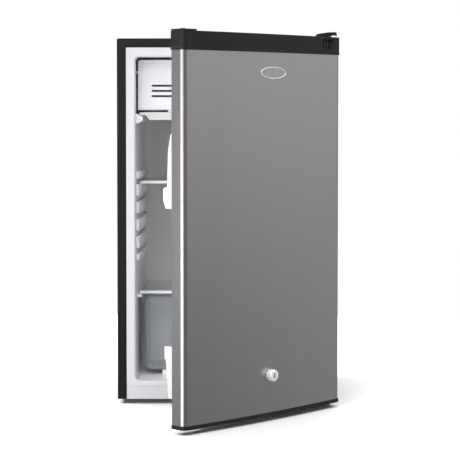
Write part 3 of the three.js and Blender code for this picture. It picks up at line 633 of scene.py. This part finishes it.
def makeCompressor():
    q = cooling
    x, y = q["x"], q["y"]
    can = turned(
        [(0, 25), (30, 25), (46, 26.5), (55, 31), (60, 40), (62, 56), (62, 83), (62.6, 84.4), (64.6, 84.8),
         (65, 86), (65, 90.5), (64.4, 91.8), (62.2, 92.2), (61.8, 94), (61.4, 112), (59, 124), (54, 133),
         (45, 141), (32, 147), (16, 150.3), (0, 151)],
        "z", x, y, 96,
    )
    lugs = []
    for i in range(3):  # welded feet under the can
        angle = math.radians(90 + 120 * i)
        lugs.append(turned([(0, 24.8), (9, 24.8), (9, 27.5), (7, 29), (0, 29)], "z",
                           x + 50 * math.cos(angle), y + 50 * math.sin(angle), 24))
    plate = soften(block(x + 52, x + 66.5, y - 20, y + 20, 58, 106), 2.5)
    stub = turned([(0, 120), (3.3, 120), (3.3, 139), (4.2, 139.5), (4.2, 147), (2.4, 149), (0, 149)],
                  "z", x - 40, y + 36, 20)  # pinched filling tube
    piece("compressorCan", joined(can, *lugs, plate, stub), compressorPaint, "cabinet", "compressor")

    low, high = nodeBox("start_relay_box")
    relay = soften(filled(low, high), 4, 4)
    lines = [soften(block(high.x - 0.6, high.x + 0.7, low.y + 8 + 9 * i, low.y + 12 + 9 * i, low.z + 9,
                          high.z - 9), 0.5, 2) for i in range(4)]
    piece("relayBox", joined(relay, *lines), blackCap, "cabinet", "start_relay_box")
    dress("compressor_mount", galvanised, 0.4)
    for dx in (-80, 80):
        for dy in (-40, 40):
            stud = turned([(0, 24.3), (8, 24.3), (8, 25.6), (4.6, 25.6), (4.6, 29.4), (2.6, 29.4),
                           (2.6, 33.6), (0, 34)], "z", x + dx, y + dy, 24)
            side = "Right" if dx > 0 else "Left"
            end = "Back" if dy > 0 else "Front"
            piece("mountNut" + side + end, stud, zinc, "cabinet")
    dress("evaporation_tray", greySill, 0.5)
    dress("terminal_plate", galvanised, 0.4)


def makeCondenser():
    q = cooling
    plane, reach = q["coilY"], q["reach"]
    corners = [(reach - 20, plane, 196), (reach, plane, 206)]
    for i in range(q["runs"]):
        side = -reach if i % 2 else reach
        z = q["low"] + i * q["pitch"]
        corners += [(side, plane, z), (-side, plane, z)]
    coil = swept(bent(corners, 14, 7), q["tube"], 14)
    topRun = q["low"] + (q["runs"] - 1) * q["pitch"]
    wires = []
    for i in range(q["wires"]):
        x = -189 + 378 * i / (q["wires"] - 1)
        y = plane + q["tube"] + q["wire"] * 0.6
        wires.append(swept([Vector((x, y, q["low"] - 9)), Vector((x, y, topRun + 9))], q["wire"], 8))
    piece("condenserGrid", joined(coil, *wires), steelShell, "cabinet", "condenser_coil")
    dress("condenser_bracket_left", steelShell, 0.3)
    dress("condenser_bracket_right", steelShell, 0.3)

    x, y = q["x"], q["y"]
    out = reach - 20
    hot = [(x + 40, y + 51, 118), (x + 40, 388, 118), (120, 388, 118), (out, 388, 118), (out, plane, 130),
           (out, plane, 192.5)]
    joint = turned([(0, 184), (3.7, 184), (3.9, 186), (3.9, 190), (3.7, 192.3), (0, 192.3)], "z", out, plane,
                   20)
    piece("dischargePipe", joined(swept(bent(hot, 10), q["tube"], 14), joint), copper, "cabinet",
          "discharge_pipe")
    cold = [(x - 40, y + 51, 100), (x - 40, 385, 100), (-178, 385, 100), (-178, 385, 189.4)]
    sleeve = turned([(0, 170), (5, 170), (5.2, 172), (5.2, 188), (0, 188)], "z", -178, 385, 20)
    piece("suctionPipe", joined(swept(bent(cold, 9), 3.4, 16), sleeve), copper, "cabinet", "suction_pipe")
    drier = turned([(0, 60), (2.4, 60), (2.8, 66), (4, 69), (8, 74), (9.5, 79), (9.5, 137), (8.4, 143),
                    (5, 148), (3, 151), (2.6, 156), (0, 156)], "z", 150, 355, 40)
    bands = [turned([(0, z), (9.9, z), (10.1, z + 1), (9.9, z + 2), (0, z + 2)], "z", 150, 355, 40)
             for z in (84, 131)]
    piece("filterDrier", joined(drier, *bands), copper, "cabinet", "filter_drier")

    rear = depth + 0.3 - 22
    gland = turned([(0, rear), (9, rear), (9, rear + 3), (8, rear + 3.6), (6.3, rear + 3.6), (6.1, rear + 8),
                    (6.6, rear + 9), (5.9, rear + 10), (5.9, rear + 12), (6.3, rear + 13), (5.5, rear + 14),
                    (5.4, rear + 17), (5, rear + 20), (3.4, rear + 20), (3.2, rear + 12), (0, rear + 12)],
                   "y", 205, 60, 36)
    piece("cableGland", gland, blackCap, "cabinet", "mains_cable_gland")


makeCompressor()
makeCondenser()
print("cooling system done")


flap = {"left": -198.4, "right": 128, "low": 664.5, "high": 783.5, "front": 36, "rear": 48, "corner": 7,
        "gripLeft": -130, "gripRight": 63, "slots": (724.6, 712.7, 700.8), "groups": ((-167, -62), (-5, 100))}
dial = {"x": 169, "z": 738, "radius": 18}


def makeIceBox():
    low, high = nodeBox("freezer_box")
    outside = filled(low, high)
    inside = block(low.x + 2, high.x - 2, low.y - 1, high.y - 2, low.z + 2, high.z - 2)
    box = soften(carved(outside, inside), 0.7)
    channel = []
    z = high.z - 1.6
    for i in range(6):  # refrigerant channel pressed into the roof
        side = 1 if i % 2 else -1
        y = low.y + 26 + i * 40
        channel += [(side * -128 - 33, y, z), (side * 128 - 33, y, z)]
    roof = swept(bent(channel, 12), 2.4, 10)
    floor = swept(bent([(x, y, low.z + 1.2) for x, y, _ in channel], 12), 1.9, 10)
    piece("iceBox", joined(box, roof, floor), iceBoxMetal, "cabinet", "freezer_box")

    q = flap
    face = prism(roundRect(q["left"], q["right"], q["low"], q["high"], q["corner"]), "y", q["front"],
                 q["rear"])
    tools = [
        block(q["left"] + 3, q["right"] - 3, q["front"] + 3, q["rear"] + 1, 672, 780.5),
        block(q["left"] - 1, q["gripLeft"], q["front"] - 1, q["rear"] + 1, 655, 669),
        block(q["gripRight"], q["right"] + 1, q["front"] - 1, q["rear"] + 1, 655, 669),
    ]
    for x0, x1 in q["groups"]:
        for z in q["slots"]:
            tools.append(prism(roundRect(x0, x1, z - 2.3, z + 2.3, 2.25, 6), "y", q["front"] - 1, q["rear"]))
    panel = soften(carved(face, *tools), 0.9, 3)
    rim = carved(prism(roundRect(q["left"] + 2, q["right"] - 2, 670.5, q["high"] - 2, 6), "y",
                       q["front"] - 1.3, q["front"] + 1), prism(roundRect(q["left"] + 7.5, q["right"] - 7.5,
                                                                          676, q["high"] - 7.5, 4), "y",
                                                                q["front"] - 3, q["front"] + 2),)
    pins = [
        turned([(0, x0), (2, x0), (2, x1), (0, x1)], "x", *liner["flapPivot"], 24)
        for x0, x1 in ((-202.4, q["left"] + 3), (q["right"] - 3, 139.5))
    ]
    piece("iceBoxFlap", joined(panel, soften(rim, 1.0, 3), *pins), shadedFlapWhite, "freezer_flap", "freezer_flap")


def makeThermostat():
    shell = prism(roundRect(136, 200, 690, 786, 6), "y", 40, 118)
    housing = carved(
        soften(shell, 1.6),
        turned([(0, 133), (2.5, 133), (2.5, 141), (0, 141)], "x", *liner["flapPivot"], 24),
        turned([(0, 30), (4.4, 30), (4.4, 62), (0, 62)], "y", dial["x"], dial["z"], 32),
        block(142, 194, 64, 120, 696, 780),
    )
    ticks = []
    for i in range(8):  # raised scale round the dial
        angle = math.radians(-45 + 270 * i / 7)
        long = 3.2 if i % 7 else 5
        tick = soften(block(-0.5, 0.5, 39.4, 40.6, 21, 21 + long), 0.2, 2)
        bmesh.ops.transform(tick, matrix=Matrix.Translation((dial["x"], 0, dial["z"]))
                            @ Matrix.Rotation(angle, 4, "Y"), verts=tick.verts)
        ticks.append(tick)
    piece("thermostatCover", joined(housing, *ticks), whiteLiner, "cabinet", "thermostat_housing")

    r = dial["radius"]
    knob = turned([(0, 28), (r - 3, 28), (r - 1, 28.8), (r, 30.5), (r, 39.3), (4, 39.3), (4, 60), (0, 60)],
                  "y", dial["x"], dial["z"], 72)
    grip = soften(block(dial["x"] - 3, dial["x"] + 3, 20, 29, dial["z"] - 15.5, dial["z"] + 15.5), 1.6)
    mark = soften(block(dial["x"] - 0.7, dial["x"] + 0.7, 19.7, 22, dial["z"] + 8, dial["z"] + 15), 0.3, 2)
    piece("thermostatKnob", joined(knob, grip, mark), whiteTrim, "thermostat_knob", "thermostat_knob")
    dress("thermostat_body", galvanised, 0.5)


def makeDripTray():
    rise = 656.8
    outer = [(-195, 664), (-195, rise), (-180, rise), (-172, 646.3), (172, 646.3), (180, rise), (195, rise),
             (195, 664)]
    inner = [(-178, 668), (-170.5, 648.4), (170.5, 648.4), (178, 668)]
    tray = carved(prism(outer, "y", 30, 325), prism(inner, "y", 33, 322))
    grip = prism(roundRect(-40, 40, 649.5, 653, 1.7, 4), "y", 29.2, 31)
    piece("dripTray", joined(soften(tray, 0.9), soften(grip, 0.4, 2)), shadedTrayWhite, "drip_tray", "drip_tray")


makeIceBox()
makeThermostat()
makeDripTray()
print("ice box done")


def makeShelf(name):
    low, high = nodeBox(name + "_glass")
    pane = soften(filled(low, high), 0.6, 2)
    piece(name + "_pane", pane, shelfPane, name, name + "_glass")
    low, high = nodeBox(name + "_trim")
    bar = prism([(low.y, low.z), (low.y, high.z), (low.y + 13, high.z), (low.y + 13, low.z)], "x", low.x,
                high.x)
    bar = soften(bar, 1.4, 4)
    groove = block(-300, 300, low.y + 4.6, low.y + 20, low.z - 0.1, low.z + 4.5)
    line = block(low.x + 2, high.x - 2, low.y - 1, low.y + 0.35, low.z + 4.0, low.z + 4.5)
    piece(name + "_bar", carved(bar, groove, line), whiteTrim, name, name + "_trim")


def makeCrisper():
    q = {"half": 187, "front": 80, "back": 220, "low": 65.8, "top": 236, "wall": 2.5, "draft": 2.6, "foot": 9,
         "rim": 203, "step": 1.2}
    outside, inside = [], []

    def ring(z, inset):
        spots = roundRect(-q["half"] + inset, q["half"] - inset, q["front"] + inset, q["back"] - inset,
                          max(12 - inset / 2, 3), 8)
        return [(x, y, z) for x, y in spots]

    for i in range(7):  # rounded foot
        angle = math.radians(90 * i / 6)
        outside.append((q["low"] + q["foot"] * (1 - math.cos(angle)),
                        q["foot"] * (1 - math.sin(angle)) + q["draft"]))
    outside += [(q["rim"] - 2, q["step"]), (q["rim"], 0), (q["top"] - 0.8, 0), (q["top"], 0.8)]
    w = q["wall"]
    inside = [(q["top"], w - 0.7), (q["top"] - 0.7, w)]
    inside += [(q["rim"] - 1, w), (q["rim"] - 3, w + q["step"])]
    for i in range(7):
        angle = math.radians(90 - 90 * i / 6)
        reach = q["foot"] - 1
        inside.append((q["low"] + w + reach * (1 - math.cos(angle)),
                       reach * (1 - math.sin(angle)) + q["draft"] + w))
    tub = loft([ring(z, inset) for z, inset in outside + inside])
    handle = prism([(71, 214), (71, 224), (72, 225), (80.6, 225), (80.6, 222), (73, 222), (73, 214)], "x",
                   -60, 60)
    piece("crisperDrawer", joined(tub, soften(handle, 0.5, 2)), clearCrisper, "crisper_drawer",
          "crisper_drawer")


makeShelf("upper_shelf")
makeShelf("lower_shelf")
makeCrisper()
print("shelves done")


door = {"back": -10, "edge": -46, "crown": 11, "corner": 12, "bottom": 19.4, "top": 791.9, "proud": 2}
lock = {"x": 3, "z": 100}
badge = {"x": 12, "z": 748.5, "half": 39, "rise": 12.5}


def doorOutline(grow, back, spans=72, turn=12):  # a shallow crown between rounded corners
    w = half + grow
    r = door["corner"] + grow
    last = 85

    def crownAt(x):
        return door["edge"] - grow - door["crown"] * (1 - (x / half) ** 2)

    endX = w - r + r * math.cos(math.radians(last))
    centre = crownAt(endX) + r * math.sin(math.radians(last))
    right = [(w - r + r * math.cos(math.radians(a)), centre - r * math.sin(math.radians(a)))
             for a in (last * i / turn for i in range(turn + 1))]
    front = [(endX * (1 - 2 * i / spans), crownAt(endX * (1 - 2 * i / spans))) for i in range(1, spans)]
    left = [(-x, y) for x, y in reversed(right)]
    return [(w, back), *right, *front, *left, (-w, back)]


def makeDoorSkin():
    back, bottom, upper = door["back"], door["bottom"], door["top"]
    skin = carved(
        prism(doorOutline(0, back - 0.3), "z", bottom, upper),
        prism(doorOutline(-1, back - 1.3), "z", bottom - 1, upper + 1),
        block(-half + 9, half - 9, back - 5, back + 5, bottom - 1, upper + 1),
        turned([(0, -75), (9.4, -75), (9.4, -40), (0, -40)], "y", lock["x"], lock["z"], 40),
    )
    piece("doorSkin", skin, steelDoor, "door", "door_steel_panel", True, 25)


def makeDoorCaps():
    back, bottom, upper, proud = door["back"], door["bottom"], door["top"] + 0.3, door["proud"]
    outside = prism(doorOutline(proud, back - 0.3), "z", upper, top)
    band = prism(doorOutline(proud + 0.6, back - 0.3), "z", upper, upper + 4.3)
    shell = soften(carved(outside, band, how="UNION"), 0.7, 3, 40)
    pocketWall = prism([(172, -48.5), (179, -45.2), (194, -44.6), (202, -41), (222.5, -39.6), (222.5, -48),
                        (172, -52.8)], "z", 801.5, 828.5)
    hollow = prism(doorOutline(proud - 3, back - 3), "z", upper - 1, top - 3)
    floor = [(176.5, -53.6), (178, -48.2), (181, -47.8), (183, -51.2), (188, -50.9), (189.5, -47.6),
             (192.5, -47.2), (194.5, -50.2), (199, -49.2), (203, -43.6), (209, -42.6)]
    scoop = loft([
        [(x, y, z) for x, y in [(178, -75), *floor, (far, -75)]] for z, far in ((804, 226), (826, 248))
    ])
    soften(scoop, 0.7, 3, 20)
    boss = turned([(0, 806), (9.6, 806), (9.6, top - 1), (0, top - 1)], "z", pin.x, pin.y, 40)
    bore = turned([(0, 800), (7.4, 800), (7.4, top + 1), (0, top + 1)], "z", pin.x, pin.y, 40)
    plugHole = turned([(0, top - 8), (5, top - 8), (5, top + 1), (0, top + 1)], "z", -pin.x, pin.y, 32)
    cap = carved(carved(shell, hollow), pocketWall, boss, how="UNION")
    piece("doorTopCap", carved(cap, scoop, bore, plugHole), blackCap, "door", "door_top_cap",
          True, 30)

    cover = carved(prism(doorOutline(proud - 0.8, back - 0.3), "z", top + 0.3, top + 3.6),
                   block(-209, 300, -100, 0, top - 1, top + 9))
    soften(cover, 0.9, 3, 30)
    knob = turned([(0, top + 3), (7.6, top + 3), (6.6, top + 4.4), (4, top + 5.4), (0, top + 5.6)], "z",
                  -pin.x, -32, 32)
    stalk = turned([(0, top - 6), (4, top - 6), (4.6, top - 5), (4.6, top + 1), (0, top + 1)], "z", -pin.x,
                   pin.y, 24)
    piece("capBlankPlug", joined(cover, knob, stalk), blackCap, "door", "cap_blank_plug",
          True)

    foot = carved(
        soften(prism(doorOutline(proud, back - 0.3), "z", base, bottom - 0.3), 0.8, 3, 40),
        turned([(0, 0), (6.4, 0), (6.4, 40), (0, 40)], "z", pin.x, pin.y, 32),
        block(lock["x"] - 4.5, lock["x"] + 4.5, -25.5, -19.5, 0, 40),
    )
    piece("doorBottomCap", foot, blackCap, "door", "door_bottom_cap", True, 30)


def makeDoorInside():
    back = door["back"]
    plate = soften(prism(roundRect(-239, 239, 16, 826, 8), "y", back, back + 2.4), 0.8, 3)
    dykes = []
    for side in (-1, 1):
        x0 = min(side * 191.5, side * 199.5)
        profile = [(back + 1, 57), (18, 65), (25, 77), (25, 606), (16, 622), (back + 1, 632)]
        dykes.append(soften(prism(profile, "x", x0, x0 + 8), 2.4, 4))
    panels = []
    for z0, z1 in ((645, 800), (185, 440)):  # pressed fields between the racks
        panels.append(soften(prism(roundRect(-175, 175, z0, z1, 14), "y", back + 2, back + 4.4), 1.6, 3))
    piece("doorLiner", joined(plate, *dykes, *panels), whiteLiner, "door", "door_liner", True)

    y = back + 2.7
    seal = {"x": 229, "z0": 28.5, "z1": 812.5}
    # bellows of the seal: a magnet pocket in front and two soft folds behind it
    section = [(-5.8, 0), (5.8, 0), (5.8, 1.6), (3.6, 2.3), (5.6, 3.1), (5.8, 4.6), (5.4, 6.3), (4.4, 6.7),
               (-4.4, 6.7), (-5.4, 6.3), (-5.8, 4.6), (-5.6, 3.1), (-3.6, 2.3), (-5.8, 1.6)]
    rings = []
    for u, v in section:
        out = roundRect(-seal["x"] - u, seal["x"] + u, seal["z0"] - u, seal["z1"] + u, 6 + u, 6)
        rings.append([(a, y + v, b) for a, b in out])
    bm = bmesh.new()
    made = [[bm.verts.new(p) for p in ring] for ring in rings]
    for k in range(len(made)):
        near, far = made[k], made[(k + 1) % len(made)]
        for i in range(len(near)):
            j = (i + 1) % len(near)
            bm.faces.new((near[i], near[j], far[j], far[i]))
    bmesh.ops.recalc_face_normals(bm, faces=bm.faces)
    piece("doorSeal", bm, sealRubber, "door", "door_gasket", True)
    dress("door_foam", foam)


def makeRacks():
    b, reach, w = -7.3, 190, 3
    tall = carved(
        soften(prism([(b, 460.8), (65.7, 460.8), (67.5, 465), (73, 478), (73, 504), (61.5, 507.4), (58, 585),
                      (50.3, 619), (b, 619)], "x", -reach, reach), 1.3, 3, 30),
        prism([(b + 2, 463.8), (63.4, 463.8), (64.6, 466), (70, 479), (70, 700), (b + 2, 700)], "x",
              -reach + w, reach - w),
        block(-reach + w, reach - w, 40, 90, 504.2, 700),
    )
    bars = [soften(block(x - 2, x + 2, b + 1, 66, 463, 465.4), 0.7, 2) for x in range(-160, 161, 40)]
    piece("upperDoorRack", joined(tall, *bars), milkyRack, "door", "upper_door_rack", True)
    deep = carved(soften(prism([(b, 58.7), (59.4, 58.7), (59.5, 68), (65.9, 140.6), (70, 140.6), (70, 168.7),
                                (b, 168.7)], "x", -reach, reach), 1.3, 3, 30),
                  prism([(b + 2, 61.7), (56.4, 61.7), (56.5, 68.2), (63, 142.6), (67, 143.6), (67, 200),
                         (b + 2, 200)], "x", -reach + w, reach - w),)
    bars = [soften(block(x - 2, x + 2, b + 1, 58, 61, 63.4), 0.7, 2) for x in range(-160, 161, 40)]
    piece("lowerDoorRack", joined(deep, *bars), milkyRack, "door", "lower_door_rack", True)


def makeLock():
    face = door["edge"] - door["crown"]
    ring = turned([(6.2, face + 30), (9, face + 30), (9, face - 0.3), (12.4, face - 0.3), (13, face - 0.9),
                   (13, face - 10.6), (12.7, face - 12), (11.8, face - 13.4), (10.6, face - 14),
                   (7.4, face - 14), (6.8, face - 13.4), (6.2, face - 12.8)], "y", lock["x"], lock["z"], 72,)
    piece("lockBarrel", ring, paintedSheenChrome, "door", "lock_barrel", True)
    core = turned([(0, face + 30.5), (5.8, face + 30.5), (5.8, face - 13.6), (5.2, face - 14.3),
                   (0, face - 14.3)], "y", lock["x"], lock["z"], 48)
    slot = roundRect(lock["x"] - 2.6, lock["x"] + 2.6, lock["z"] - 4.8, lock["z"] + 4.8, 2, 4)
    ward = block(lock["x"] + 0.9, lock["x"] + 2, face - 14.2, face - 5, lock["z"] - 3.8, lock["z"] + 3.8)
    piece("lockCore", joined(carved(core, prism(slot, "y", face - 20, face - 6)), ward), paintedSheenChrome,
          "lock_key_plug", "lock_plug", True)
    # painted shade: a black insert fills the keyway, which on the real lock is dark only by shade
    shade = roundRect(lock["x"] - 2.5, lock["x"] + 2.5, lock["z"] - 4.7, lock["z"] + 4.7, 1.9, 4)
    piece("keywayPaintedShade", prism(shade, "y", face - 13.9, face - 6.3), blackCap, "lock_key_plug",
          onDoor=True)
    back = face + 30.8
    cam = turned([(0, back), (10.6, back), (11, back + 0.4), (11, back + 2.1), (10.6, back + 2.5),
                  (0, back + 2.5)], "y", lock["x"], lock["z"], 48)
    crank = turned([(0, back + 2), (1.5, back + 2), (1.5, back + 8), (0, back + 8)], "y", lock["x"] + 8,
                   lock["z"], 20)
    piece("lockCam", joined(cam, crank), zinc, "lock_key_plug", "lock_cam", True)
    dress("lock_bolt", zinc, 0.3)

    a, b = badge["half"], badge["rise"]

    def oval(shrink, height):
        points = []
        for i in range(72):
            angle = 2 * math.pi * i / 72
            x = badge["x"] + (a - shrink) * math.cos(angle)
            surface = door["edge"] - door["crown"] * (1 - (x / half) ** 2)
            points.append((x, surface - height, badge["z"] + (b - shrink) * math.sin(angle)))
        return points

    piece("badgeFace", loft([oval(1, 0.3), oval(1, 1.0), oval(1.3, 1.3), oval(4, 1.35)]), badgeMetal, "door",
          "badge_plate", True)
    rim = bmesh.new()
    rings = [oval(0, 0.3), oval(0, 1.7), oval(0.3, 2.0), oval(1.3, 2.0), oval(1.6, 1.7), oval(1.6, 0.3)]
    made = [[rim.verts.new(p) for p in ring] for ring in rings]
    for k in range(len(made)):
        bridge(rim, made[k], made[(k + 1) % len(made)])
    piece("badgeEdge", outward(rim), badgeRim, "door", onDoor=True)


makeDoorSkin()
makeDoorCaps()
makeDoorInside()
makeRacks()
makeLock()
print("door done")


def crossHeadScrew(x, y, seat, length):
    body = turned(
        [(0, seat - length), (1.4, seat - length + 1.5), (2, seat - length + 3), (2, seat), (4.1, seat),
         (4.2, seat + 0.5), (3.9, seat + 1.3), (3, seat + 1.9), (1.6, seat + 2.2), (0, seat + 2.25)],
        "z", x, y, 32,
    )
    slots = [block(x - 2.2, x + 2.2, y - 0.45, y + 0.45, seat + 0.8, seat + 4),
             block(x - 0.45, x + 0.45, y - 2.2, y + 2.2, seat + 0.8, seat + 4)]
    return carved(body, *slots)


plateScrews = ((216, 26), (232, 46))


def makeHinges():
    arm = prism([(-33, 834.2), (0, 834.2), (5, top + 0.3), (62, top + 0.3), (62, top + 2.8), (6.5, top + 2.8),
                 (1.5, 836.7), (-33, 836.7)], "x", 209, 239)
    holes = [turned([(0, top - 10), (r, top - 10), (r, top + 10), (0, top + 10)], "z", x, y, 24)
             for r, x, y in (*((2.4, *spot) for spot in plateScrews), (3.4, pin.x, pin.y))]
    piece("topHingePlate", carved(soften(arm, 0.5, 2, 50), *holes), steelShell, "cabinet", "top_hinge_plate")
    post = turned([(0, 814), (3, 814), (4, 816), (4, 833.9), (3, 833.9), (3, 837), (2.4, 837.4), (0, 837.4)],
                  "z", pin.x, pin.y, 32)
    piece("topHingePin", post, zinc, "cabinet", "top_hinge_pin")
    for i, (x, y) in enumerate(plateScrews):
        name = f"top_hinge_screw_{i + 1}"
        piece(f"topHingeScrew{i + 1}", crossHeadScrew(x, y, top + 3.1, 22), zinc, "cabinet", name)

    outline = [(206, top + 0.3), (206, 838.4), (209, 839.4), (233, 843), (249, 843), (250.8, 841.4),
               (250.8, top + 1.4)]
    inner = [(207.6, top - 1), (207.6, 837.3), (233, 841.2), (248, 841.2), (248.8, 840.4), (248.8, top - 1)]
    cover = carved(
        soften(prism(outline, "y", -36.5, 64), 0.8, 3, 30),
        prism(inner, "y", -34.8, 62.8),
        block(238, 247.4, -40, -30, top - 1, 839.8),
        block(238, 252, 58, 70, top - 1, 839.8),
        block(247.4, 252, -33, 60, top + 1.2, 839.8),
        block(200, 260, -40, 0.5, top - 1, 833.6),
    )
    piece("topHingeCover", cover, blackCap, "cabinet", "top_hinge_cover", smooth=30)
    bush = turned([(4.3, 811), (7, 811), (7, top + 0.3), (8.4, top + 0.3), (8.6, top + 0.6), (8.6, top + 2.2),
                   (8.2, top + 2.6), (4.3, top + 2.6)], "z", pin.x, pin.y, 40)
    piece("topPinBush", bush, nylonWhite, "door", "top_pin_bush", True)

    dress("lower_hinge_bracket", steelShell, 0.4)
    dress("lock_keeper", galvanised, 0.4)
    stub = turned([(0, base - 3.6), (3.6, base - 3.6), (3.6, base - 3.2), (2.2, base - 3.2),
                   (2.2, base - 0.3), (3.2, base - 0.2), (3.2, base + 7.2), (2.5, base + 8), (0, base + 8)],
                  "z", pin.x, pin.y, 32)
    piece("lowerHingePin", stub, zinc, "cabinet", "lower_hinge_pin")
    collar = turned([(3.5, base + 0.4), (6.1, base + 0.4), (6.1, base + 8.2), (3.5, base + 8.2)], "z",
                    pin.x, pin.y, 40)
    piece("lowerPinBush", collar, nylonWhite, "door", "lower_pin_bush", True)


makeHinges()
print("hinges done")


studio = {
    "floor": 1.7, "paper": 0.86, "backdrop": 1.0, "lens": 130.04, "eye": (36.9, -3762.5, 666.6), "yaw": 0.38,
    "pitch": -2.51, "shift": -0.1,
}


def makeSky():  # a soft room of light, brightest from the front left, darker below the horizon
    world = bpy.data.worlds.new("studioSky")
    bpy.context.scene.world = world
    sky = Finish("sky", "BACKGROUND", world, Color=(1, 1, 1))
    way = sky.node("ShaderNodeTexCoord")
    rise = sky.node("ShaderNodeSeparateXYZ", {}, {"Vector": way}, 2)

    def facing(x, y, near, full):  # how nearly a ray heads this way round the compass
        share = sky.node("ShaderNodeVectorMath", {"operation": "DOT_PRODUCT"}, {0: way, 1: (x, y, 0)}, 1)
        return sky.node("ShaderNodeMapRange", {"interpolation_type": "SMOOTHSTEP"},
                        {"Value": share, "From Min": near, "From Max": full})

    def height(low, high):
        return sky.node("ShaderNodeMapRange", {"interpolation_type": "SMOOTHSTEP"},
                        {"Value": rise, "From Min": low, "From Max": high})

    ceiling = height(0.15, 0.9) * 0.75
    window = facing(-0.72, -0.69, 0.82, 0.96) * height(-0.36, -0.12) * (1 - height(-0.09, 0.11)) * 5.7
    leftCard = facing(-1, 0.03, 0.9, 0.995) * height(-0.14, -0.07) * (1 - height(-0.09, -0.01)) * 1.45
    rightCard = facing(1, -0.05, 0.7, 0.95) * height(-0.13, 0.03) * 0.62
    lowCard = facing(0.9, 0.43, 0.8, 0.98) * (1 - height(-0.12, 0.0)) * 0.2
    glow = ceiling + window + leftCard + rightCard + lowCard + 0.18
    sky.set("Strength", glow)
    camera = sky.node("ShaderNodeLightPath")
    plain = sky.node("ShaderNodeBackground", {}, {"Color": (1, 1, 1), "Strength": studio["backdrop"]})
    lit = Flow(sky, sky.shader.outputs[0])
    seen = sky.node("ShaderNodeMixShader", {}, {0: camera, 1: lit, 2: plain})
    sky.feed(next(n for n in sky.tree.nodes if n.type == "OUTPUT_WORLD").inputs[0], seen)


def makeStudio():
    q = studio
    bpy.ops.mesh.primitive_circle_add(vertices=96, radius=q["floor"], fill_type="NGON", location=(0, 0, 0))
    floor = bpy.context.object
    floor.name = "studioFloor"
    paper = Finish("studioPaper", Roughness=0.95)
    shade = q["paper"]
    paper.set("Base_Color", paper.blend(paper.noise(6, 2), (shade,) * 3, (shade + 0.02,) * 3))
    floor.data.materials.append(paper.material)
    floor.visible_glossy = False  # the steel mirrors the room, not the paper's edge

    def softbox(name, at, aim, width, height, power):
        lamp = bpy.data.lights.new(name, "AREA")
        lamp.shape = "RECTANGLE"
        lamp.size, lamp.size_y = width, height
        lamp.energy = power
        box = bpy.data.objects.new(name, lamp)
        bpy.context.scene.collection.objects.link(box)
        box.location = at
        box.rotation_euler = (Vector(aim) - Vector(at)).to_track_quat("-Z", "Y").to_euler()
        box.visible_camera = False

    softbox("frontSoftbox", (-1.3, -5.0, 4.4), (0, 0, 0.4), 3.4, 2.4, 150)
    softbox("leftSoftbox", (-2.8, 1.1, 3.3), (0.1, -0.2, 0.5), 1.6, 1.6, 130)
    softbox("topSoftbox", (0.2, -0.2, 3.8), (0, 0, 0), 3.5, 3.5, 90)
    softbox("backSoftbox", (0.6, 3.4, 3.0), (0, 0, 0.4), 2.5, 2.0, 60)

    lens = bpy.data.cameras.new("studioCamera")
    lens.lens = q["lens"]
    lens.sensor_width = 36
    lens.shift_y = q["shift"]
    camera = bpy.data.objects.new("studioCamera", lens)
    bpy.context.scene.collection.objects.link(camera)
    camera.location = cabinetPlace @ Vector(q["eye"])
    camera.rotation_euler = (math.radians(90 + q["pitch"]), 0, math.radians(q["yaw"]))
    bpy.context.scene.camera = camera
    bpy.context.scene.view_settings.view_transform = "Standard"


makeSky()
makeStudio()
print("studio done")
